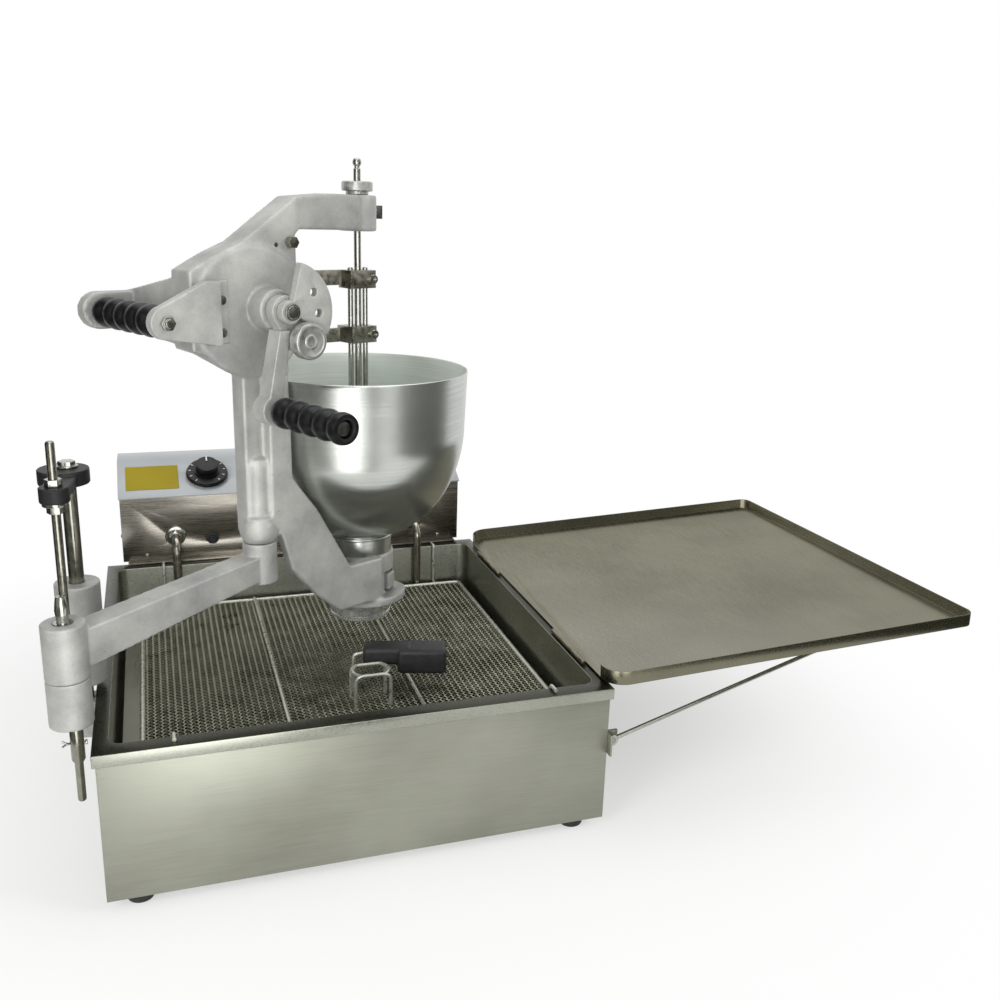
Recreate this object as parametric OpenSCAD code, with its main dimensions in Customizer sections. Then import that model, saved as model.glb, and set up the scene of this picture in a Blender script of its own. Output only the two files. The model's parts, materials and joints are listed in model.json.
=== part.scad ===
// Hand-cranked donut depositor on a swing arm, over an electric table-top fryer.
// Lengths are in millimetres and angles in degrees. The origin is on the bench, under the middle of the tank,
// with +X to the drain tray, +Y to the control head and +Z up.

/* [Tank] */
// Width of the tank over its rim
tank_w = 500; // [460:1:560]
// Depth of the tank over its rim
tank_d = 504; // [480:1:560]
// Height of the tank without its feet
tank_h = 151; // [140:1:170]
// Thickness of the stainless sheet
sheet = 1.2; // [0.8:0.1:2]
// Width of the rim at the sides
rim_side = 14; // [10:1:20]
// Width of the rim at the front and back
rim_front = 19; // [14:1:24]
// Height of the lip folded down from the rim
lip_h = 12; // [8:1:14]
// Gap between the rim's edge and the casing
casing_inset = 3; // [2:0.5:5]
// Air gap under the oil pan
pan_z = 28; // [20:1:36]
// Corner radius of the oil pan
pan_r = 12; // [6:1:20]
// Height of a foot
foot_h = 12; // [8:1:20]
// Radius of a foot
foot_r = 14; // [10:1:18]
// Distance of the feet from the sides
foot_inset_x = 32; // [24:1:50]
// Distance of the feet from the front and back
foot_inset_y = 22; // [20:1:50]

/* [Heating element] */
// Radius of the heating tube
tube_r = 5.5; // [4:0.25:6.5]
// Distance between two runs of the tube
run_pitch = 65; // [56:1:68]
// Number of runs, an even number
runs = 6; // [4:2:6]
// Height of the runs in the tank
run_z = 60; // [52:1:70]
// Bend radius of the tube at the back
elbow_r = 18; // [14:1:24]
// Height at which the tube leaves the control head, over the rim
outlet_rise = 35; // [30:1:45]

/* [Fry screen] */
// Depth of the screen under the rim
screen_drop = 52; // [46:1:60]
// Radius of the screen's frame wire
frame_wire_r = 3; // [2.5:0.25:4]
// Radius of the thin wires
thin_wire_r = 2; // [1.5:0.25:2.5]
// Distance of the screen from the left wall of the pan
screen_left = 26; // [22:1:40]
// Distance of the screen from the right wall of the pan
screen_right = 14; // [8:1:30]
// Mesh openings across and in depth
mesh_nx = 15; // [8:1:15]
mesh_ny = 19; // [8:1:19]
// Width of the mesh's strands
mesh_strand = 4; // [3:0.5:6]
// Thickness of the mesh
mesh_t = 1.2; // [0.8:0.1:2]
// Height of the wire handle over the screen
handle_h = 38; // [30:1:40]
// Thickness of the black grip
grip_h = 28; // [20:1:30]

/* [Control head] */
// Width of the control head
head_w = 460; // [420:1:480]
// Depth of the control head
head_d = 106; // [90:1:140]
// Height of the stainless body
head_h = 86; // [78:1:100]
// Height of the sloping panel
panel_rise = 37; // [32:1:50]
// Depth of the sloping panel
panel_run = 62; // [56:1:75]
// Distance of the knob from the head's left side
knob_x = 113; // [60:1:200]
// Radius of the knob's skirt
knob_r = 27.5; // [20:0.5:30]
// Radius of the reset button
button_r = 4; // [3:0.25:5]
// Travel of the reset button
button_travel = 3; // [2:0.25:4]
// Bore of the cable gland
gland_bore_r = 4.5; // [3:0.25:6]

/* [Drain tray] */
// Length of the tray away from the tank
tray_l = 467; // [380:1:520]
// Width of the tray, front to back
tray_w = 494; // [440:1:500]
// Height of the tray's lips
tray_lip = 15; // [12:1:30]
// Slope of the tray, up to the right
tray_slope = 2.5; // [1:0.25:4]
// Radius of the wire strut
strut_r = 2.4; // [2:0.1:4]
// Reach of the strut from the tank's wall
strut_reach = 246; // [180:1:320]

/* [Column] */
// Place of the arm's pivot, from the tank's left front corner
pivot_x = -15; // [-22:0.5:-12]
pivot_y = 34; // [26:0.5:36]
// Radius of the pivot pins
pin_r = 8; // [6:0.25:10]
// Radius of the pivot bosses
boss_r = 19; // [17:0.5:22]
// Height of the slider's front boss
boss_h = 44; // [36:1:50]
// Height of the slider's front boss over the bench side of the tank
boss_z = 169; // [165:1:180]
// Place of the post
post_x = -10; // [-12:0.5:-9]
post_y = 146; // [140:1:160]
// Radius of the post
post_r = 7; // [6:0.25:8]
// Height of the post's top
post_top = 369; // [340:1:400]
// Place of the threaded guide rod
rod_x = -17; // [-20:0.5:-14]
rod_y = 84; // [80:1:90]
// Radius of the guide rod
rod_r = 4; // [3.5:0.25:5]

/* [Swing arm] */
// Length of the swing arm between its pivots
arm_l = 219.7; // [212:0.1:230]
// Direction of the swing arm, from +X
arm_az = 35; // [30:0.1:38]
// Width of the arm
arm_w = 26; // [20:1:30]
// Radius of the arm's far hub
far_hub_r = 17.3; // [15:0.1:19]
// Height of the far hub's top
far_hub_top = 285; // [283:1:290]

/* [Depositor] */
// Direction in which the depositor points, from +X
head_az = 27; // [24:0.5:30]
// Place of the hopper's axis from the depositor's pivot
hopper_s = 157; // [150:0.5:162]
hopper_n = 36; // [34:0.5:38]
// Thickness of the casting's plate
plate_t = 12; // [9:0.5:14]
// Depth of the casting behind its front face
cast_d = 34; // [30:0.5:36]
// Front face of the casting, in front of the pivot
plate_front = 4; // [2:0.5:6]
// Height of the top boss
top_boss_h = 36; // [30:1:40]
// Height of the top boss's upper face
top_z = 629; // [625:1:640]

/* [Hopper] */
// Radius of the hopper at its rim
hopper_r = 122; // [115:0.5:124]
// Depth of the hopper's rim under the top boss's upper face
hopper_drop = 184; // [178:1:190]
// Radius of the hopper's neck
neck_r = 33; // [31:0.25:34]
// Wall of the hopper
hopper_wall = 1.5; // [1:0.1:2]
// Height of the nozzle's mouth
nozzle_z = 154.5; // [154:0.25:158]

/* [Crank] */
// Place of the crank shaft: across from the pivot, and under the top boss's upper face
shaft_s = 12; // [8:0.5:16]
shaft_drop = 109; // [104:0.5:114]
// Radius of the crank shaft
shaft_r = 6; // [5:0.25:7]
// Radius of the balls of a grip
ball_r = 15; // [12:0.25:16]
// Distance between two balls of a grip
ball_pitch = 21.3; // [18:0.1:22.5]
// Number of balls on a grip
balls = 5; // [4:1:5]
// Radius of the dose sector
sector_r = 47; // [44:0.5:52]
// Lift of the cutter over the crank's stroke
cutter_lift = 14; // [8:0.5:15]
// Lift of the plunger over the crank's stroke
plunger_lift = 8; // [4:0.5:10]
// Stroke of the crank
stroke = 60; // [40:1:70]

/* [Clearances] */
// Radial play of a shaft that turns or slides
play = 0.05; // [0.02:0.01:0.1]
// Radial play of a piece that is fixed in its seat
seat = 0.02; // [0.01:0.01:0.03]
// Gap between faces that pass each other
pass = 0.5; // [0.3:0.1:0.8]

/* [Hidden] */
$fn = 48;
far = 900;
stainless = "#b9b8ae";
cast = "#b4b6b5";
polished = "#d6d8d6";
black = "#1c1c1d";
enamel = "#d9dee2";
mesh_grey = "#7d7a68";

// Pan, rim and casing
pan_x0 = rim_side;
pan_x1 = tank_w - rim_side;
pan_y0 = rim_front;
pan_y1 = tank_d - rim_front;
lip_z = tank_h - lip_h;

// Heating element
run_x0 = tank_w / 2 - run_pitch * (runs - 1) / 2;
run_front = pan_y0 + 62;
drop_y = pan_y1 - tube_r - 1.5;
run_back = drop_y - run_pitch / 2 - tube_r - 8;
outlet_z = tank_h + outlet_rise;

// Screen
screen_z = tank_h - screen_drop;
scr_x0 = pan_x0 + screen_left;
scr_x1 = pan_x1 - screen_right;
scr_y0 = pan_y0 + 7;
scr_y1 = drop_y - tube_r - 2 - frame_wire_r;
hook_z = tank_h + thin_wire_r + 0.05;
hook_xs = [scr_x0 + 30, scr_x1 - 34];
margin_w = 17;
mesh_top = screen_z + mesh_t / 2;
handle_x = 275;
handle_y = 123;
handle_w = 38;
handle_d = 28;
riser_x = 262;
mesh_gap = frame_wire_r + 0.2;
mesh_px = (scr_x1 - scr_x0 - 2 * mesh_gap - mesh_strand) / mesh_nx;
mesh_py = (scr_y1 - scr_y0 - 2 * mesh_gap - mesh_strand) / mesh_ny;
strand_y = scr_y0 + mesh_gap + mesh_strand / 2;
riser_y = strand_y + round((168 - strand_y) / mesh_py) * mesh_py;

// Control head
bracket_t = 3;
head_x0 = (tank_w - head_w) / 2;
head_y = tank_d + 2;
head_z0 = tank_h + bracket_t;
head_z1 = head_z0 + head_h;
cover_over = 1.5;
panel_tilt = atan2(panel_rise - cover_over, panel_run + cover_over);
panel_len = norm([panel_run + cover_over, panel_rise - cover_over]);
panel_y = head_y - cover_over + panel_len / 2 * cos(panel_tilt);
panel_z = head_z1 + cover_over + panel_len / 2 * sin(panel_tilt);
bush_r = 5;
spindle_r = 3;
reset_x = head_x0 + 115;
reset_z = head_z0 + 26;
gland_x = head_x0 + 40;
gland_z = head_z0 + 26;
gland_r = 8;

// Tray: its hinge lies on the right rim
hinge_x = tank_w - 9;
hinge_r = 1.5;
knuckle_r = 2.6;
hinge_z = tank_h + knuckle_r + 0.05;
tray_y0 = 0;
tray_under = 1.6;
knuckle_l = 30;
knuckle_ys = [tray_y0 + 60, tray_y0 + tray_w - 60 - 3 * knuckle_l];
strut_x = tank_w - casing_inset + 8;
strut_y = 9;
strut_z = 88;
strut_tip_x = tank_w + strut_reach;
tray_bottom_at = hinge_z - tray_under / cos(tray_slope) + (strut_tip_x - hinge_x) * tan(tray_slope);
strut_tip_z = tray_bottom_at - strut_r - 0.4;
strut_l = norm([strut_tip_x - strut_x, strut_tip_z - strut_z]);
strut_tilt = atan2(strut_tip_z - strut_z, strut_tip_x - strut_x);
strut_pin_r = 3;

// Column: heights from the casing's underside
bracket_z = 100;
bracket_top = lip_z - 0.5;
hub_z = boss_z + boss_h + 0.3;
hub_top = boss_z + 96;
clamp_r = rod_r + 4.5;
clamp_z = 138;
rear_r = post_r + 14;
rear_z = tank_h + 7;
rear_top = boss_z + 92;
web_z = boss_z + 2;
web_top = boss_z + 34;
clamp_top = web_top + 1;
plate_z = post_top - 8;
plate_top = post_top + 6;
rod_boss_z = plate_z - 2;
rod_bottom = 60;
rod_top = plate_top + 39;
bolt_r = 4;
cotter_z = 122;
stop_z = cotter_z - 19;
stop_r = rod_r + 2.3;
cotter_r = 1.25;

// Depositor: x runs from the pivot to the hopper, y to the back, in the frame turned by head_az
head_px = pivot_x + arm_l * cos(arm_az);
head_py = pivot_y + arm_l * sin(arm_az);
front_y = -plate_front;
web_y = front_y + plate_t;
back_y = front_y + cast_d;
rib_y = front_y - plate_t;
neck_y = front_y + 21;
collar_z = far_hub_top + pass;
shaft_z = top_z - shaft_drop;
hopper_top = top_z - hopper_drop;
grip_s = -100;
grip_z = shaft_z - 7;
grip_bolt_r = 4;
grip_l = ball_pitch * (balls - 1) + 2 * ball_r;
bracket_back = front_y - 8;
grip_y0 = bracket_back + 1;
tail_y = grip_y0 + grip_l + 1;
tail_t = 14;
boss_front = front_y - 24;
ring_r = neck_r + 6;
ring_z = 187;
ring_top = 234;
flange_r = neck_r + 12;
flange_z = 178;
lip_shift = 8;
seat_r = neck_r + 3.5;
rim_h = 0.29 * (hopper_top - ring_top);
bowl_h = 0.65 * (hopper_top - ring_top);
plunger_r = 3.9;
cutter_r = 3;
cutter_gap = 10;
sleeve_r = neck_r - 5.4;
sleeve_t = 2;
nozzle_bore = sleeve_r + 0.4;
disc_r = sleeve_r - sleeve_t - 0.4;
sleeve_z = nozzle_z + 1.5;
sleeve_top = 216;
disc_top = sleeve_z + 10;
top_boss_r = 18.5;

// Crank, cams and followers: layers behind the casting, each a plate with a gap to the next
lever_t = 12;
lever_y = boss_front - pass - lever_t;
sector_t = 9;
sector_y = lever_y - pass - sector_t;
knob_s = shaft_s + 13;
knob_z = shaft_z - 27;
disc_knob_t = 13;
crank_s = shaft_s - 18;
crank_z = shaft_z - 92;
bar_front = boss_front - pass - 19.5;
crank_grip_y = bar_front - 1;
spindle_bolt_r = 4;
layer = 6;
cam1_y = back_y + 7;
plate1_y = cam1_y + layer + 1;
plate2_y = plate1_y + layer;
cam2_y = plate2_y + layer;
shaft_back = cam2_y + layer + 4;
shaft_front = sector_y - 3;
follower_t = layer - 1;
roller_r = 6;
roller_rise1 = 24;
roller_rise2 = 22;
cam_step = 5;
upper_z = shaft_z + 12;
upper_h = 19;
lower_z = shaft_z - 47;
lower_h = 18;

// Places
module at_tank() translate([-tank_w / 2, -tank_d / 2, foot_h]) children();
module at_head() at_tank() translate([head_px, head_py, 0]) rotate([0, 0, head_az]) children();
module on_panel(x) at_tank() translate([x, panel_y, panel_z]) rotate([panel_tilt, 0, 0]) children();
module on_hopper() at_head() translate([hopper_s, hopper_n, 0]) children();
module on_shaft() at_head() translate([shaft_s, 0, shaft_z]) children();

// Shapes that repeat: a bar between two corners, rods along each axis, and prisms from an outline
module bar(p, q) translate(p) cube(q - p);
module rod_x(p, l, r) translate(p) rotate([0, 90, 0]) cylinder(h = l, r = r);
module rod_y(p, l, r) translate(p) rotate([-90, 0, 0]) cylinder(h = l, r = r);
module rod_z(p, l, r) translate(p) cylinder(h = l, r = r);
module prism_y(y0, y1) translate([0, y1, 0]) rotate([90, 0, 0]) linear_extrude(y1 - y0) children();
module prism_x(x0, x1) translate([x0, 0, 0]) rotate([90, 0, 90]) linear_extrude(x1 - x0) children();
module round_block(p, q, r) {
  translate([p[0], p[1] + r, p[2]]) cube([q[0] - p[0], q[1] - p[1] - 2 * r, q[2] - p[2]]);
  translate([p[0] + r, p[1], p[2]]) cube([q[0] - p[0] - 2 * r, q[1] - p[1], q[2] - p[2]]);
  for (x = [p[0] + r, q[0] - r], y = [p[1] + r, q[1] - r])
    rod_z([x, y, p[2]], q[2] - p[2], r);
}
module link(p, q, w, z0, z1) {
  d = q - p;
  translate([p[0], p[1], z0]) rotate([0, 0, atan2(d[1], d[0])])
    translate([0, -w / 2, 0]) cube([norm(d), w, z1 - z0]);
}
module hex(p, h, r) translate(p) cylinder(h = h, r = r, $fn = 6);
// A weld bead where two wires of radius r meet
module bead(p, r) translate(p) sphere(r + 0.2);
module ball_grip(y0, bolt, first = 0) {
  difference() {
    union() {
      for (i = [first : balls - 1])
        translate([0, y0 + ball_r + i * ball_pitch, 0]) sphere(ball_r);
      rod_y([0, y0 + 3 + 9 * first, 0], grip_l - 6 - 9 * first, ball_r - 3);
      children();
    }
    rod_y([0, y0 - 1, 0], grip_l + 2, bolt + play);
  }
}

// Fryer base
module casing() {
  color(stainless) at_tank() difference() {
    bar([casing_inset, casing_inset, 0], [tank_w - casing_inset, tank_d - casing_inset, tank_h - sheet]);
    bar([casing_inset + sheet, casing_inset + sheet, sheet],
      [tank_w - casing_inset - sheet, tank_d - casing_inset - sheet, tank_h]);
  }
}

module oil_pan() {
  color(stainless) at_tank() {
    difference() {
      union() {
        bar([0, 0, tank_h - sheet], [tank_w, tank_d, tank_h]);
        round_block([pan_x0 - sheet, pan_y0 - sheet, pan_z], [pan_x1 + sheet, pan_y1 + sheet, tank_h], pan_r + sheet);
      }
      round_block([pan_x0, pan_y0, pan_z + sheet], [pan_x1, pan_y1, tank_h + 1], pan_r);
    }
    difference() {
      bar([0, 0, lip_z], [tank_w, tank_d, tank_h]);
      bar([sheet, sheet, lip_z - 1], [tank_w - sheet, tank_d - sheet, tank_h + 1]);
    }
  }
}

module rubber_feet() {
  color(black) at_tank()
    for (x = [foot_inset_x, tank_w - foot_inset_x], y = [foot_inset_y, tank_d - foot_inset_y])
      translate([x, y, -foot_h]) cylinder(h = foot_h, r1 = foot_r - 1.5, r2 = foot_r);
}

module tube_arc(r, a) rotate_extrude(angle = a) translate([r, 0]) circle(tube_r);

module element_tube() {
  last = run_x0 + (runs - 1) * run_pitch;
  color(stainless) at_tank() {
    for (x = [run_x0, last]) {
      rod_y([x, drop_y + elbow_r, outlet_z], head_y + 20 - drop_y - elbow_r, tube_r);
      translate([x, drop_y + elbow_r, outlet_z - elbow_r]) rotate([90, 0, -90]) tube_arc(elbow_r, 90);
      rod_z([x, drop_y, run_z + elbow_r], outlet_z - run_z - 2 * elbow_r, tube_r);
      translate([x, drop_y - elbow_r, run_z + elbow_r]) rotate([90, 0, -90]) rotate([0, 0, 180]) tube_arc(elbow_r, 90);
      rod_y([x, run_front, run_z], drop_y - elbow_r - run_front, tube_r);
    }
    for (i = [1 : runs - 2])
      rod_y([run_x0 + i * run_pitch, run_front, run_z], run_back - run_front, tube_r);
    for (i = [0 : runs - 2])
      translate([run_x0 + (i + 0.5) * run_pitch, i % 2 == 0 ? run_front : run_back, run_z])
        rotate([0, 0, i % 2 == 0 ? 180 : 0]) tube_arc(run_pitch / 2, 180);
  }
}

module element_nuts() {
  color(polished) at_tank()
    for (x = [run_x0, run_x0 + (runs - 1) * run_pitch]) difference() {
      union() {
        rod_y([x, head_y - 3, outlet_z], 3, tube_r + 6);
        translate([x, head_y - 8, outlet_z]) rotate([-90, 0, 0]) cylinder(h = 5, r = tube_r + 3.5, $fn = 6);
      }
      rod_y([x, head_y - 9, outlet_z], 10, tube_r + seat);
    }
}

// Control head
module head_box() {
  color(stainless) at_tank() difference() {
    bar([head_x0, head_y, head_z0], [head_x0 + head_w, head_y + head_d, head_z1]);
    bar([head_x0 + sheet, head_y + sheet, head_z0 + sheet],
      [head_x0 + head_w - sheet, head_y + head_d - sheet, head_z1 + 1]);
    for (x = [run_x0, run_x0 + (runs - 1) * run_pitch])
      rod_y([x, head_y - 1, outlet_z], sheet + 2, tube_r + seat);
    rod_y([reset_x, head_y - 1, reset_z], sheet + 2, button_r + 2 + seat);
    rod_y([gland_x, head_y + head_d - sheet - 1, gland_z], sheet + 2, gland_r + seat);
  }
}

module head_panel() {
  y0 = head_y - cover_over;
  y1 = head_y + head_d;
  top = head_z1 + panel_rise;
  inner_y0 = y0 + sheet * sin(panel_tilt);
  inner_z0 = head_z1 + cover_over - sheet * cos(panel_tilt);
  color(enamel) difference() {
    at_tank() prism_x(head_x0 - cover_over, head_x0 + head_w + cover_over)
      polygon([[y0, head_z1], [y0, head_z1 + cover_over], [head_y + panel_run, top], [y1 + cover_over, top],
        [y1 + cover_over, head_z1]]);
    at_tank() prism_x(head_x0 + sheet, head_x0 + head_w - sheet)
      polygon([[head_y + sheet, head_z1 - 1],
        [head_y + sheet, inner_z0 + (head_y + sheet - inner_y0) * tan(panel_tilt)],
        [inner_y0 + (top - sheet - inner_z0) / tan(panel_tilt), top - sheet],
        [y1 - sheet, top - sheet], [y1 - sheet, head_z1 - 1]]);
    on_panel(head_x0 + knob_x) rod_z([0, 0, -sheet - 1], sheet + 2, bush_r + seat);
  }
}

module head_bracket() {
  x0 = head_x0 + 6;
  x1 = head_x0 + head_w - 6;
  color(stainless) at_tank() {
    bar([x0, tank_d - 7, tank_h], [x1, head_y + head_d - 4, head_z0]);
    bar([x0, tank_d + 0.5, tank_h - 50], [x1, tank_d + 2.5, tank_h]);
  }
}

module head_screws() {
  color(polished) at_tank() {
    for (x = [30, head_w / 2, head_w - 30])
      rod_y([head_x0 + x, head_y - 2, head_z0 + 7], 2, 3);
    for (y = [20, head_d - 20]) {
      rod_x([head_x0 - 2, head_y + y, head_z0 + 30], 2, 3.5);
      rod_x([head_x0 + head_w, head_y + y, head_z0 + 30], 2, 3.5);
    }
  }
}

module thermostat_body() {
  color(black) on_panel(head_x0 + knob_x) {
    bar([-22, -17, -sheet - 30], [22, 17, -sheet]);
    rod_z([0, 0, -sheet], sheet + 3, bush_r);
    rod_z([0, 0, 3], 16, spindle_r);
  }
}

module thermostat_knob() {
  color(black) on_panel(head_x0 + knob_x) difference() {
    union() {
      translate([0, 0, 3 + pass]) cylinder(h = 5, r1 = knob_r, r2 = knob_r - 2);
      translate([0, 0, 8]) cylinder(h = 15, r1 = knob_r - 8, r2 = knob_r - 9.5);
    }
    rod_z([0, 0, 0], 19 + pass, spindle_r + play);
  }
}

module limiter_body() {
  color(black) at_tank() difference() {
    union() {
      rod_y([reset_x, head_y + sheet, reset_z], 28, 14);
      rod_y([reset_x, head_y, reset_z], sheet, button_r + 2);
      rod_y([reset_x, head_y - 4, reset_z], 4, button_r + 4);
    }
    rod_y([reset_x, head_y - 5, reset_z], 20, button_r + play);
  }
}

module reset_button() {
  color(black) at_tank() rod_y([reset_x, head_y - 4 - button_travel, reset_z], 12, button_r);
}

module terminal_block() {
  color(enamel) at_tank() difference() {
    bar([head_x0 + 300, head_y + 50, head_z0 + sheet], [head_x0 + 372, head_y + 74, head_z0 + sheet + 22]);
    for (i = [0 : 4])
      rod_z([head_x0 + 312 + 12 * i, head_y + 62, head_z0 + sheet + 14], 9, 3);
  }
}

module cable_gland() {
  y = head_y + head_d;
  color(black) at_tank() difference() {
    union() {
      rod_y([gland_x, y - sheet - 8, gland_z], sheet + 8, gland_r);
      translate([gland_x, y, gland_z]) rotate([-90, 0, 0]) cylinder(h = 7, r = gland_r + 5, $fn = 6);
      rod_y([gland_x, y + 7, gland_z], 12, gland_r + 1);
    }
    rod_y([gland_x, y - sheet - 9, gland_z], sheet + 30, gland_bore_r);
  }
}

// Fry screen
module screen_frame() {
  color(polished) at_tank() {
    for (x = [scr_x0, scr_x1]) {
      rod_y([x, scr_y0, screen_z], scr_y1 - scr_y0, frame_wire_r);
      for (y = [scr_y0, scr_y1])
        bead([x, y, screen_z], frame_wire_r);
    }
    for (y = [scr_y0, scr_y1])
      rod_x([scr_x0, y, screen_z], scr_x1 - scr_x0, frame_wire_r);
    for (i = [1, 2])
      rod_y([scr_x0 + (scr_x1 - scr_x0) * i / 3, scr_y0 - 1, mesh_top + thin_wire_r + 0.1],
        scr_y1 - scr_y0 + 2, thin_wire_r);
    bar([scr_x0 - margin_w - 2, scr_y0, screen_z - 0.6], [scr_x0, scr_y1, screen_z + 0.6]);
    for (x = hook_xs) {
      front = pan_y0 + thin_wire_r + 1;
      back = pan_y1 - thin_wire_r - 1;
      rod_y([x, front, screen_z], scr_y0 - front, thin_wire_r);
      rod_y([x, scr_y1, screen_z], back - scr_y1, thin_wire_r);
      for (y = [front, back]) {
        rod_z([x, y, screen_z], hook_z - screen_z, thin_wire_r);
        for (z = [screen_z, hook_z - 0.2])
          bead([x, y, z], thin_wire_r);
      }
      rod_y([x, front - 14, hook_z], 14, thin_wire_r);
      rod_y([x, back, hook_z], 12, thin_wire_r);
    }
  }
}

module screen_mesh() {
  color(mesh_grey) at_tank() translate([scr_x0 + mesh_gap, scr_y0 + mesh_gap, screen_z - mesh_t / 2])
    linear_extrude(mesh_t) difference() {
      square([scr_x1 - scr_x0 - 2 * mesh_gap, scr_y1 - scr_y0 - 2 * mesh_gap]);
      for (i = [0 : mesh_nx - 1], j = [0 : mesh_ny - 1])
        translate([mesh_strand + i * mesh_px, mesh_strand + j * mesh_py])
          square([mesh_px - mesh_strand, mesh_py - mesh_strand]);
    }
}

// Two wire loops on the mesh, joined at their tops, and a taller wire that carries the black grip
module screen_handle() {
  z0 = mesh_top + 0.1;
  z1 = screen_z + handle_h;
  z2 = z1 + thin_wire_r + 4.5;
  xs = [handle_x - handle_w / 2, handle_x + handle_w / 2];
  color(polished) at_tank() {
    for (y = [handle_y, handle_y + handle_d]) {
      for (x = xs) {
        rod_z([x, y, z0], z1 - z0, thin_wire_r);
        bead([x, y, z1], thin_wire_r);
      }
      rod_x([xs[0], y, z1], handle_w, thin_wire_r);
    }
    for (x = xs)
      rod_y([x, handle_y, z1], handle_d, thin_wire_r);
    rod_z([riser_x, riser_y, z0], z2 - z0, thin_wire_r);
    bead([riser_x, riser_y, z2], thin_wire_r);
    rod_x([riser_x, riser_y, z2], 26, thin_wire_r);
  }
}

module screen_grip() {
  z1 = screen_z + handle_h + thin_wire_r;
  color(black) at_tank() difference() {
    translate([riser_x + 14, riser_y + 4, z1]) rotate([0, 0, -15]) difference() {
      union() {
        bar([-3, -9, 0], [34, 9, 9]);
        prism_x(34, 92) polygon([[-17, 0], [-17, 8], [-11, 13], [11, 13], [17, 8], [17, 0]]);
        bar([34, -17, 13 - grip_h], [92, 17, 0.1]);
      }
      translate([92, 0, 13]) rotate([0, 40, 0]) cube([8, 40, 30], center = true);
    }
    rod_x([riser_x, riser_y, z1 + 4.5], 26.5, thin_wire_r + seat);
  }
}

// Drain tray, modelled level about its hinge and then sloped
module at_tray() at_tank() translate([hinge_x, 0, hinge_z]) rotate([0, -tray_slope, 0]) children();

module tray() {
  x0 = knuckle_r + 1.4;
  y1 = tray_y0 + tray_w;
  corner = 14;
  near = 24;
  color(stainless) at_tray() {
    difference() {
      intersection() {
        round_block([x0 - 60, tray_y0, -tray_under], [tray_l, y1, tray_lip - tray_under], corner);
        round_block([x0, tray_y0, -tray_under], [tray_l + 60, y1, tray_lip - tray_under], near);
      }
      intersection() {
        round_block([x0 - 60, tray_y0 + sheet, sheet - tray_under], [tray_l - sheet, y1 - sheet, tray_lip], corner - sheet);
        round_block([x0 + sheet, tray_y0 + sheet, sheet - tray_under], [tray_l + 60, y1 - sheet, tray_lip], near - sheet);
      }
      bar([x0 - 1, tray_y0 + near + 2, sheet - tray_under], [x0 + 2 * sheet, y1 - near - 2, far]);
    }
    for (y = knuckle_ys) difference() {
      union() {
        rod_y([0, y + knuckle_l + 0.3, 0], knuckle_l - 0.6, knuckle_r);
        bar([0, y + knuckle_l + 0.3, -tray_under], [x0 + 1, y + 2 * knuckle_l - 0.3, sheet - tray_under]);
      }
      rod_y([0, y, 0], 3 * knuckle_l, hinge_r + play);
    }
  }
}

module tray_hinges() {
  color(polished) at_tank() for (y = knuckle_ys) {
    for (s = [y, y + 2 * knuckle_l]) {
      rod_y([hinge_x, s, hinge_z], knuckle_l, knuckle_r);
      bar([hinge_x - 1.5, s, tank_h], [hinge_x + 1.5, s + knuckle_l, hinge_z]);
    }
    rod_y([hinge_x, y, hinge_z], 3 * knuckle_l, hinge_r);
  }
}

module strut_bracket() {
  x0 = tank_w - casing_inset;
  color(stainless) at_tank() {
    bar([x0, strut_y - 14, strut_z - 12], [x0 + 2, strut_y + 26, strut_z + 12]);
    bar([x0, strut_y + 4, strut_z - 8], [strut_x + 8, strut_y + 7, strut_z + 8]);
    rod_y([strut_x, strut_y - 4, strut_z], 8, strut_pin_r);
  }
}

module tray_strut() {
  color(stainless) at_tank() translate([strut_x, strut_y, strut_z]) rotate([0, -strut_tilt, 0]) difference() {
    union() {
      rod_y([0, -3, 0], 6, strut_pin_r + 3);
      rod_x([0, 0, 0], strut_l, strut_r);
      translate([strut_l, 0, 0]) sphere(strut_r);
      rod_y([strut_l, 0, 0], 30, strut_r);
    }
    rod_y([0, -4, 0], 8, strut_pin_r + play);
  }
}

// Column
module post() {
  color(polished) at_tank() difference() {
    rod_z([post_x, post_y, bracket_z], post_top - bracket_z, post_r);
    rod_z([post_x, post_y, post_top - 12], 13, bolt_r + seat);
  }
}

module post_bracket() {
  color(cast) at_tank() difference() {
    union() {
      bar([post_x, post_y - post_r - 7, bracket_z], [casing_inset, post_y + post_r + 7, bracket_top]);
      rod_z([post_x, post_y, bracket_z], bracket_top - bracket_z, post_r + 7);
    }
    rod_z([post_x, post_y, bracket_z - 1], bracket_top, post_r + seat);
    bar([casing_inset, 0, 0], [far, far, far]);
  }
}

module top_plate() {
  color(black) at_tank() difference() {
    union() {
      link([rod_x, rod_y], [post_x, post_y], 24, plate_z + 1, plate_top - 3);
      rod_z([post_x - 3, post_y - 4, plate_z], plate_top - plate_z, post_r + 16);
      rod_z([rod_x, rod_y, rod_boss_z], plate_top - 2 - rod_boss_z, rod_r + 9);
    }
    rod_z([post_x, post_y, plate_z - 1], post_top - plate_z + 1, post_r + seat);
    rod_z([post_x, post_y, plate_z], plate_top, bolt_r + seat);
    rod_z([rod_x, rod_y, rod_boss_z - 1], plate_top, rod_r + seat);
  }
}

module guide_rod() {
  color(polished) at_tank() difference() {
    union() {
      rod_z([rod_x, rod_y, rod_bottom], rod_top - rod_bottom, rod_r);
      rod_z([rod_x, rod_y, stop_z], clamp_z - 0.2 - stop_z, stop_r);
    }
    rod_x([rod_x - 9, rod_y, cotter_z], 18, cotter_r + seat);
  }
}

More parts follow.
